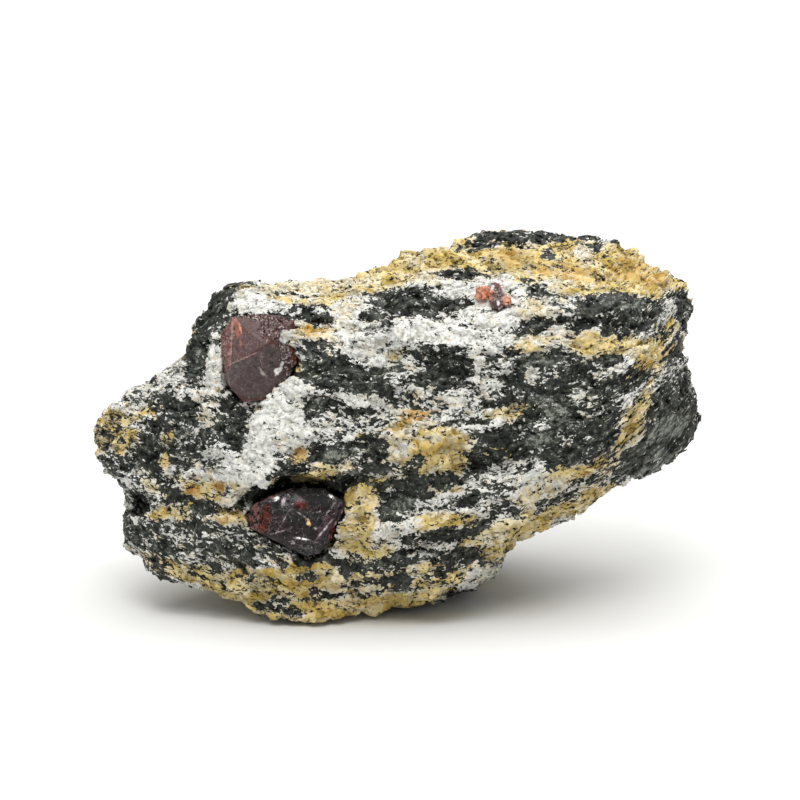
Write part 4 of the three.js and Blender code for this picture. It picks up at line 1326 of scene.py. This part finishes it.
def grain_model(shape: GrainShape, random: np.random.Generator) -> tuple[np.ndarray, np.ndarray]:
    """Models one grain, about 1 across, as triangles.

    Args:
        shape: what it breaks into.
        random: what makes each grain differ.

    Returns:
        Its vertices, and the three corners of each triangle.
    """
    bpy.ops.object.select_all(action="DESELECT")
    if shape is GrainShape.BLOCK:
        bpy.ops.mesh.primitive_cube_add(size=1)
    else:
        bpy.ops.mesh.primitive_cylinder_add(vertices=5, radius=0.6, depth=1)
    grain = bpy.context.object
    bpy.ops.object.mode_set(mode="EDIT")
    bpy.ops.mesh.select_all(action="SELECT")
    bpy.ops.mesh.quads_convert_to_tris(quad_method="BEAUTY", ngon_method="BEAUTY")
    bpy.ops.object.mode_set(mode="OBJECT")
    points = points_of(grain) * MM
    shaken = points + random.normal(scale=(0.13, 0.13, 0.10), size=points.shape)
    corners = triangles_of(grain)
    bpy.data.objects.remove(grain)
    return shaken, corners


def turned(normals: np.ndarray, along: np.ndarray, random: np.random.Generator) -> np.ndarray:
    """Rotations that bring +Z to each normal and +X about along the bands.

    Args:
        normals: unit vectors, one a line.
        along: directions that +X should lean to.
        random: what turns each one a little away.

    Returns:
        One 3 by 3 matrix for each.
    """
    other = along + random.normal(scale=0.5, size=normals.shape)
    second = np.cross(normals, other)
    second /= np.linalg.norm(second, axis=1, keepdims=True)
    return np.stack([np.cross(second, normals), second, normals], axis=2)


@dataclass
class Grains:
    """Grains of one mineral that are grown into the block's surface, joined in one mesh."""

    name: str
    shape: GrainShape
    seed: int
    size: float  # the middle width of a grain, in millimetres
    spread: float  # how much widths vary
    limits: tuple[float, float]
    flat: float  # how thick a grain is against its width
    proud: float  # how much of its thickness stands out
    tilt: float  # how far it leans from the surface
    triangles: int
    models: int = 8  # different grains, of which the rest are copies
    stray: float = 0.3  # how far a grain's ends may be from the block's surface
    sides: tuple[float, float] = (1.25, 0.85)  # how long and how wide a grain is against its width
    uneven: tuple[float, float] = (0.8, 1.25)
    foot: float = 0.5  # how high over the ground they begin
    margin: float = 1.5  # how near a crystal's box a grain is tested
    reach: float = 2.5  # how far under a crystal they keep away
    skin: float = 0.05  # how far beside one

    def wanted(self, made: Makeup) -> np.ndarray:
        """Tells how likely this mineral is.

        Args:
            made: what the stone is made of at each place.

        Returns:
            How likely it is there, from 0 to 1.
        """
        if self.shape is GrainShape.FLAKE:
            return made.dark**3 * (1 - 0.8 * made.grey)
        return np.clip(1 - 0.95 * made.dark, 0, 1) * (1 - 0.8 * made.stain)

    def build(
        self, material: bpy.types.Material, block: bpy.types.Object, crystals: list[bpy.types.Object]
    ) -> bpy.types.Object:
        """Builds and dresses the grains.

        Args:
            material: the stone's finish.
            block: the finished block that carries them.
            crystals: the zircons, which grains keep out of.

        Returns:
            The joined grains.
        """
        random = np.random.default_rng(self.seed)
        kinds = [grain_model(self.shape, random) for _ in range(self.models)]
        count = int(self.triangles / np.mean([len(corners) for _, corners in kinds]))
        places, normals = self.scatter(block, crystals, count, random)
        lies = normals + random.normal(scale=self.tilt, size=normals.shape)
        lies /= np.linalg.norm(lies, axis=1, keepdims=True)
        rotation = turned(lies, self.along(places), random)
        size = self.size * np.exp(random.normal(scale=self.spread, size=len(places)))
        size = np.clip(size, *self.limits)[:, None] * random.uniform(*self.uneven, (len(places), 3))
        size *= (*self.sides, self.flat)
        flush = self.flush(block, places, rotation, size)
        places, normals, rotation, size = places[flush], normals[flush], rotation[flush], size[flush]
        points, corners, owners, start = [], [], [], 0
        kind_of = random.integers(len(kinds), size=len(places))
        for number, (shape, faces) in enumerate(kinds):
            mine = np.flatnonzero(kind_of == number)
            grown = shape[None] * size[mine][:, None]
            put = np.einsum("nij,nkj->nki", rotation[mine], grown) + places[mine][:, None]
            put += normals[mine][:, None] * ((self.proud - 0.5) * size[mine][:, None, 2:])
            points.append(put.reshape(-1, 3))
            offsets = start + np.arange(len(mine))[:, None, None] * len(shape)
            corners.append((faces[None] + offsets).reshape(-1, 3))
            owners.append(np.repeat(mine, len(shape)))
            start += len(mine) * len(shape)
        piece = self.join(np.concatenate(points), np.concatenate(corners))
        facing = facing_of(normals)[np.concatenate(owners)]
        LAYOUT.store_on(piece.data, FRONT.to_front(points_of(piece)), facing)
        dress(piece, material, "gneiss")
        return piece

    def scatter(
        self,
        block: bpy.types.Object,
        crystals: list[bpy.types.Object],
        count: int,
        random: np.random.Generator,
    ) -> tuple[np.ndarray, np.ndarray]:
        """Picks where the grains sit.

        Args:
            block: the block that carries them.
            crystals: the zircons, which grains keep out of.
            count: how many grains.
            random: what picks the places.

        Returns:
            Their places, and the surface normals there.
        """
        points, faces = points_of(block), triangles_of(block)
        a, b, c = (points[faces[:, i]] for i in range(3))
        area = np.linalg.norm(np.cross(b - a, c - a), axis=1)
        smooth = normals_of(block)[faces].mean(axis=1)
        middle = (a + b + c) / 3
        facing = facing_of(smooth)
        made = LAYOUT.makeup(FRONT.to_front(middle), facing)
        chance = area * self.wanted(made) * (1 + 0.8 * smoothstep(-0.3, 0.2, facing))  # most on the front
        chance *= smoothstep(0.75, 0.93, np.linalg.norm(smooth, axis=1))  # few on sharp edges
        chance[middle[:, 2] < self.foot] = 0
        picked = random.choice(len(faces), size=count, p=chance / chance.sum())
        s, t = random.random((2, count, 1))
        s, t = np.where(s + t > 1, 1 - s, s), np.where(s + t > 1, 1 - t, t)
        places = a[picked] + s * (b - a)[picked] + t * (c - a)[picked]
        normals = smooth[picked] / np.linalg.norm(smooth[picked], axis=1, keepdims=True)
        free = self.clear_of(places, normals, crystals)
        return places[free], normals[free]

    def clear_of(
        self, places: np.ndarray, normals: np.ndarray, crystals: list[bpy.types.Object]
    ) -> np.ndarray:
        """Tells which places aren't in the socket of a crystal, or under one.

        Args:
            places: places on the block.
            normals: the surface normals there.
            crystals: the zircons.

        Returns:
            True for each place that is free.
        """
        free = np.ones(len(places), bool)
        for crystal in crystals:
            around = points_of(crystal)
            low, high = around.min(axis=0) - self.margin, around.max(axis=0) + self.margin
            near = np.flatnonzero(((places > low) & (places < high)).all(axis=1))
            tree = BVHTree.FromPolygons(around.tolist(), triangles_of(crystal).tolist())
            for i in near:
                place = Vector(places[i])
                over = tree.ray_cast(place, Vector(normals[i]), self.reach)[0]
                nearest, outward = tree.find_nearest(place)[:2]
                inside = (nearest - place).dot(outward) > -self.skin
                free[i] = over is None and not inside
        return free

    def flush(
        self, block: bpy.types.Object, places: np.ndarray, rotation: np.ndarray, size: np.ndarray
    ) -> np.ndarray:
        """Tells which grains lie along the block, and don't stick out of it like a fin.

        Args:
            block: the block that carries them.
            places: the middles of the grains.
            rotation: how each one is turned.
            size: the length, width and thickness of each one.

        Returns:
            True for each grain whose four ends are near the block's surface.
        """
        tree = BVHTree.FromPolygons(points_of(block).tolist(), triangles_of(block).tolist())
        near = np.ones(len(places), bool)
        for axis, side in product((0, 1), (-0.5, 0.5)):
            ends = places + side * size[:, [axis]] * rotation[:, :, axis]
            for i in np.flatnonzero(near):
                near[i] = tree.find_nearest(Vector(ends[i]))[3] < self.stray
        return near

    def along(self, places: np.ndarray) -> np.ndarray:
        """Finds the direction along the bands, across the front.

        Args:
            places: places on the block.

        Returns:
            The direction at each place.
        """
        front = FRONT.to_front(places)
        step = np.array([0.5, 0, 0])  # half a millimetre each way, so the difference is a slope
        slope = LAYOUT.band_height(front + step) - LAYOUT.band_height(front - step)
        level = np.stack([np.ones(len(places)), np.zeros(len(places)), -slope], axis=1)
        return FRONT.to_row(level) - FRONT.to_row(np.zeros((1, 3)))

    def join(self, points: np.ndarray, corners: np.ndarray) -> bpy.types.Object:
        """Makes one mesh of all the grains.

        Args:
            points: the vertices.
            corners: the triangles.

        Returns:
            The piece.
        """
        mesh = bpy.data.meshes.new(self.name)
        mesh.vertices.add(len(points))
        mesh.loops.add(corners.size)
        mesh.polygons.add(len(corners))
        mesh.loops.foreach_set("vertex_index", corners.astype(np.int32).ravel())
        mesh.polygons.foreach_set("loop_start", np.arange(0, corners.size, 3, dtype=np.int32))
        piece = bpy.data.objects.new(self.name, mesh)
        bpy.context.scene.collection.objects.link(piece)
        move_points(piece, points)
        mesh.update(calc_edges=True)
        return piece


# ---- Zircons ----


@dataclass
class Crystal:
    """A zircon that is let into the block: its CAD solid with real edges, breaks, grooves and tints.

    Sizes are in millimetres.
    """

    node: str
    name: str
    slot: str
    body: Tint
    tints: tuple[Patch, ...]
    finish: ZirconGlass
    grow: float = 0.2  # how far it is grown, so that it fills its socket
    edge: float = 0.14  # the width of its bevels
    sharp: float = math.radians(12)  # the least turn at an edge that is bevelled
    smooth: float = math.radians(28)  # the most at one that is shaded smooth
    step: float = 0.16  # the longest edge in its fine mesh
    rounds: int = 12  # how often edges are halved at most
    pits: float = 0.2  # how deep the broken faces are pitted
    groove_turn: float = 80.0  # degrees, from +u towards +w
    groove: Size = (0.35, 5.0, 5.0)  # across and along the grooves, and into the crystal
    hollow: float = 0.9
    dent: float = 0.4
    fray: float = 1.1  # how far apart the bends of the tints' edges are
    fine_fray: float = 0.45
    lumps: Noise = Noise(31)
    chips: Facets = Facets(Cells(32), (0.8, 0.8, 0.8), rise=0.05, gap_depth=0.12, gap_width=0.12)

    def build(self) -> bpy.types.Object:
        """Builds and dresses the crystal.

        Returns:
            The finished crystal.
        """
        crystal = copy_of_node(self.node, self.name)
        points = points_of(crystal)
        low, high = points.min(axis=0), points.max(axis=0)
        scale = (high - low + 2 * self.grow) / (high - low)
        move_points(crystal, (points - (low + high) / 2) * scale + (low + high) / 2)
        bevel = {"width": self.edge * MM, "segments": 2, "limit_method": "ANGLE", "angle_limit": self.sharp}
        apply_modifier(crystal, "BEVEL", **bevel)
        self.refine(crystal)
        points, normals = points_of(crystal), normals_of(crystal)
        front = FRONT.to_front(points)
        stray = 0.30 * self.lumps(front, self.fray) + 0.26 * self.lumps(front, self.fine_fray)
        look = np.tile(self.body.look, (len(points), 1))
        for patch in self.tints:
            look += (patch.kind.look - look) * patch.cover(front, stray, soft=0.08)[:, None]
        move_points(crystal, points + normals * self.relief(front, look[:, 5])[:, None])
        store(crystal.data, "front", front)
        store(crystal.data, "tint", look[:, :4])
        store(crystal.data, "roughness", look[:, 4])
        store(crystal.data, "frost", look[:, 5])
        select_only(crystal)
        bpy.ops.object.shade_smooth_by_angle(angle=self.smooth)
        dress(crystal, self.finish.material(), self.slot, self.node)
        return crystal

    def refine(self, crystal: bpy.types.Object) -> None:
        """Divides the crystal's triangles until no edge is longer than a step.

        Some triangles come out doubled or without area, so the fine mesh isn't cleanly closed.

        Args:
            crystal: the bevelled crystal, which gets the fine mesh.
        """
        mesh = bmesh.new()
        mesh.from_mesh(crystal.data)
        bmesh.ops.triangulate(mesh, faces=mesh.faces)
        for _ in range(self.rounds):
            long = [edge for edge in mesh.edges if edge.calc_length() > self.step * MM]
            if not long:
                break
            bmesh.ops.subdivide_edges(mesh, edges=long, cuts=1)
            bmesh.ops.triangulate(mesh, faces=[face for face in mesh.faces if len(face.verts) > 3])
        mesh.to_mesh(crystal.data)
        mesh.free()

    def relief(self, front: np.ndarray, frost: np.ndarray) -> np.ndarray:
        """How far the broken surface stands out of the flat faces.

        Args:
            front: places as u, v, w.
            frost: how frosted the surface is there.

        Returns:
            The rise at each place, in millimetres.
        """
        broken = smoothstep(0.05, 0.6, frost)
        wide, fine = self.lumps(front, self.hollow), self.lumps(front + 5, self.dent)
        hollows = np.clip(wide + 0.2, 0, 1) + 0.5 * np.clip(fine, 0, 1)
        cracks = self.chips(front)
        t = math.radians(self.groove_turn)
        across = front[:, 0] * math.sin(t) - front[:, 2] * math.cos(t)
        along = front[:, 0] * math.cos(t) + front[:, 2] * math.sin(t)
        grooves = self.lumps(np.stack([across, along, front[:, 1]], axis=1), self.groove)
        return (0.12 + 0.88 * broken) * (cracks - self.pits * hollows) + 0.012 * grooves


# ---- Studio ----


@dataclass
class Studio:
    """A pale paper floor, soft light from overhead and in front, and a long lens that looks a little down."""

    lens: float = 200.0
    field: float = 109.5  # millimetres across the picture at the stone
    aim: tuple[float, float, float] = (0.55, -3.0, 30.5)  # u, v, w at the middle of the picture
    sky: float = 0.5
    ground: float = 6.0  # metres across the paper
    heart: float = 0.025  # metres over it, where the lamps point
    paper: MattPaper = MattPaper()
    lamps: tuple[tuple[str, tuple[float, float, float], float, float], ...] = (
        ("overhead", (0.12, 0.12, 1.20), 1.80, 21.0),  # place and side in metres, power in watts
        ("front", (-0.10, -0.60, 0.95), 0.60, 5.0),
    )

    def build(self) -> None:
        """Lays the floor, hangs the lights and sets up the camera."""
        bpy.ops.object.select_all(action="DESELECT")
        bpy.ops.mesh.primitive_plane_add(size=self.ground)
        floor = bpy.context.object
        floor.name = "paper_floor"
        floor.data.materials.append(self.paper.material())
        world = bpy.data.worlds.new("soft white room")
        world.use_nodes = True
        sky = world.node_tree.nodes["Background"]
        sky.inputs["Color"].default_value = (1, 1, 1, 1)
        sky.inputs["Strength"].default_value = self.sky
        bpy.context.scene.world = world
        for name, place, size, power in self.lamps:
            self.hang(name, Vector(place), size, power)
        self.place_camera()
        bpy.context.scene.view_settings.view_transform = "Standard"

    def hang(self, name: str, place: Vector, size: float, power: float) -> None:
        """Hangs a square soft light that faces the stone.

        Args:
            name: its name.
            place: where it hangs, in metres.
            size: its side, in metres.
            power: its power, in watts.
        """
        light = bpy.data.lights.new(name, "AREA")
        light.size, light.energy = size, power
        lamp = bpy.data.objects.new(name, light)
        lamp.location = place
        lamp.rotation_euler = (Vector((0, 0, self.heart)) - place).to_track_quat("-Z", "Y").to_euler()
        bpy.context.scene.collection.objects.link(lamp)

    def place_camera(self) -> None:
        """Points a camera at the front, along the front frame's v."""
        camera = bpy.data.cameras.new("camera")
        camera.lens = self.lens
        distance = self.field * MM * self.lens / camera.sensor_width
        u, v, w = self.aim
        eye, aim = FRONT.to_row(np.array([[u, v - distance / MM, w], [u, v, w]])) * MM
        holder = bpy.data.objects.new("camera", camera)
        holder.location = eye
        holder.rotation_euler = Vector(aim - eye).to_track_quat("-Z", "Y").to_euler()
        bpy.context.scene.collection.objects.link(holder)
        bpy.context.scene.camera = holder


# ---- The specimen ----

CRYSTALS = (
    Crystal(
        "zircon_large",
        "large_zircon",
        "brown_zircon",
        body=Tint.BROWN,
        tints=LARGE_TINTS,
        finish=ZirconGlass(
            "zircon, brown and clouded", clear=0.25, absorbs="#8a4a38", density=350.0, gloss=0.1
        ),
        edge=0.1,
    ),
    Crystal(
        "zircon_dark",
        "dark_zircon",
        "dark_zircon",
        body=Tint.SMOKE,
        tints=DARK_TINTS,
        finish=ZirconGlass(
            "zircon, dark and cracked",
            clear=0.15,
            absorbs="#7a2a20",
            density=500.0,
            gloss=0.06,
            mottle=1.0,
            blur=0.08,
        ),
    ),
    Crystal(
        "zircon_small_cluster",
        "small_zircons",
        "red_zircon",
        body=Tint.SHARD,
        tints=SMALL_TINTS,
        finish=ZirconGlass(
            "zircon, orange red", clear=0.25, absorbs="#c8603c", density=300.0, gloss=0.12, blur=0.12
        ),
        grow=0.35,
        edge=0.2,
        step=0.12,
        pits=0.34,
    ),
)
GRAINS = (
    Grains(
        "feldspar_grains",
        GrainShape.BLOCK,
        seed=41,
        size=0.62,
        spread=0.3,
        limits=(0.35, 1.1),
        flat=0.5,
        proud=0.15,
        tilt=0.1,
        triangles=100000,
    ),
    Grains(
        "feldspar_crumbs",
        GrainShape.BLOCK,
        seed=42,
        size=0.36,
        spread=0.3,
        limits=(0.22, 0.65),
        flat=0.7,
        proud=0.38,
        tilt=0.45,
        triangles=140000,
    ),
    Grains(
        "mica_flakes",
        GrainShape.FLAKE,
        seed=43,
        size=0.75,
        spread=0.4,
        limits=(0.3, 1.5),
        flat=0.12,
        proud=0.45,
        tilt=0.08,
        triangles=60000,
    ),
)


def main() -> None:
    """Builds every piece around the frame."""
    logging.basicConfig(level=logging.INFO, format="%(message)s")
    Studio().build()
    stone = BandedGneiss().material()
    block = Block().build(stone)
    crystals = [crystal.build() for crystal in CRYSTALS]
    for grains in GRAINS:
        grains.build(stone, block, crystals)


if __name__ == "__main__":
    main()
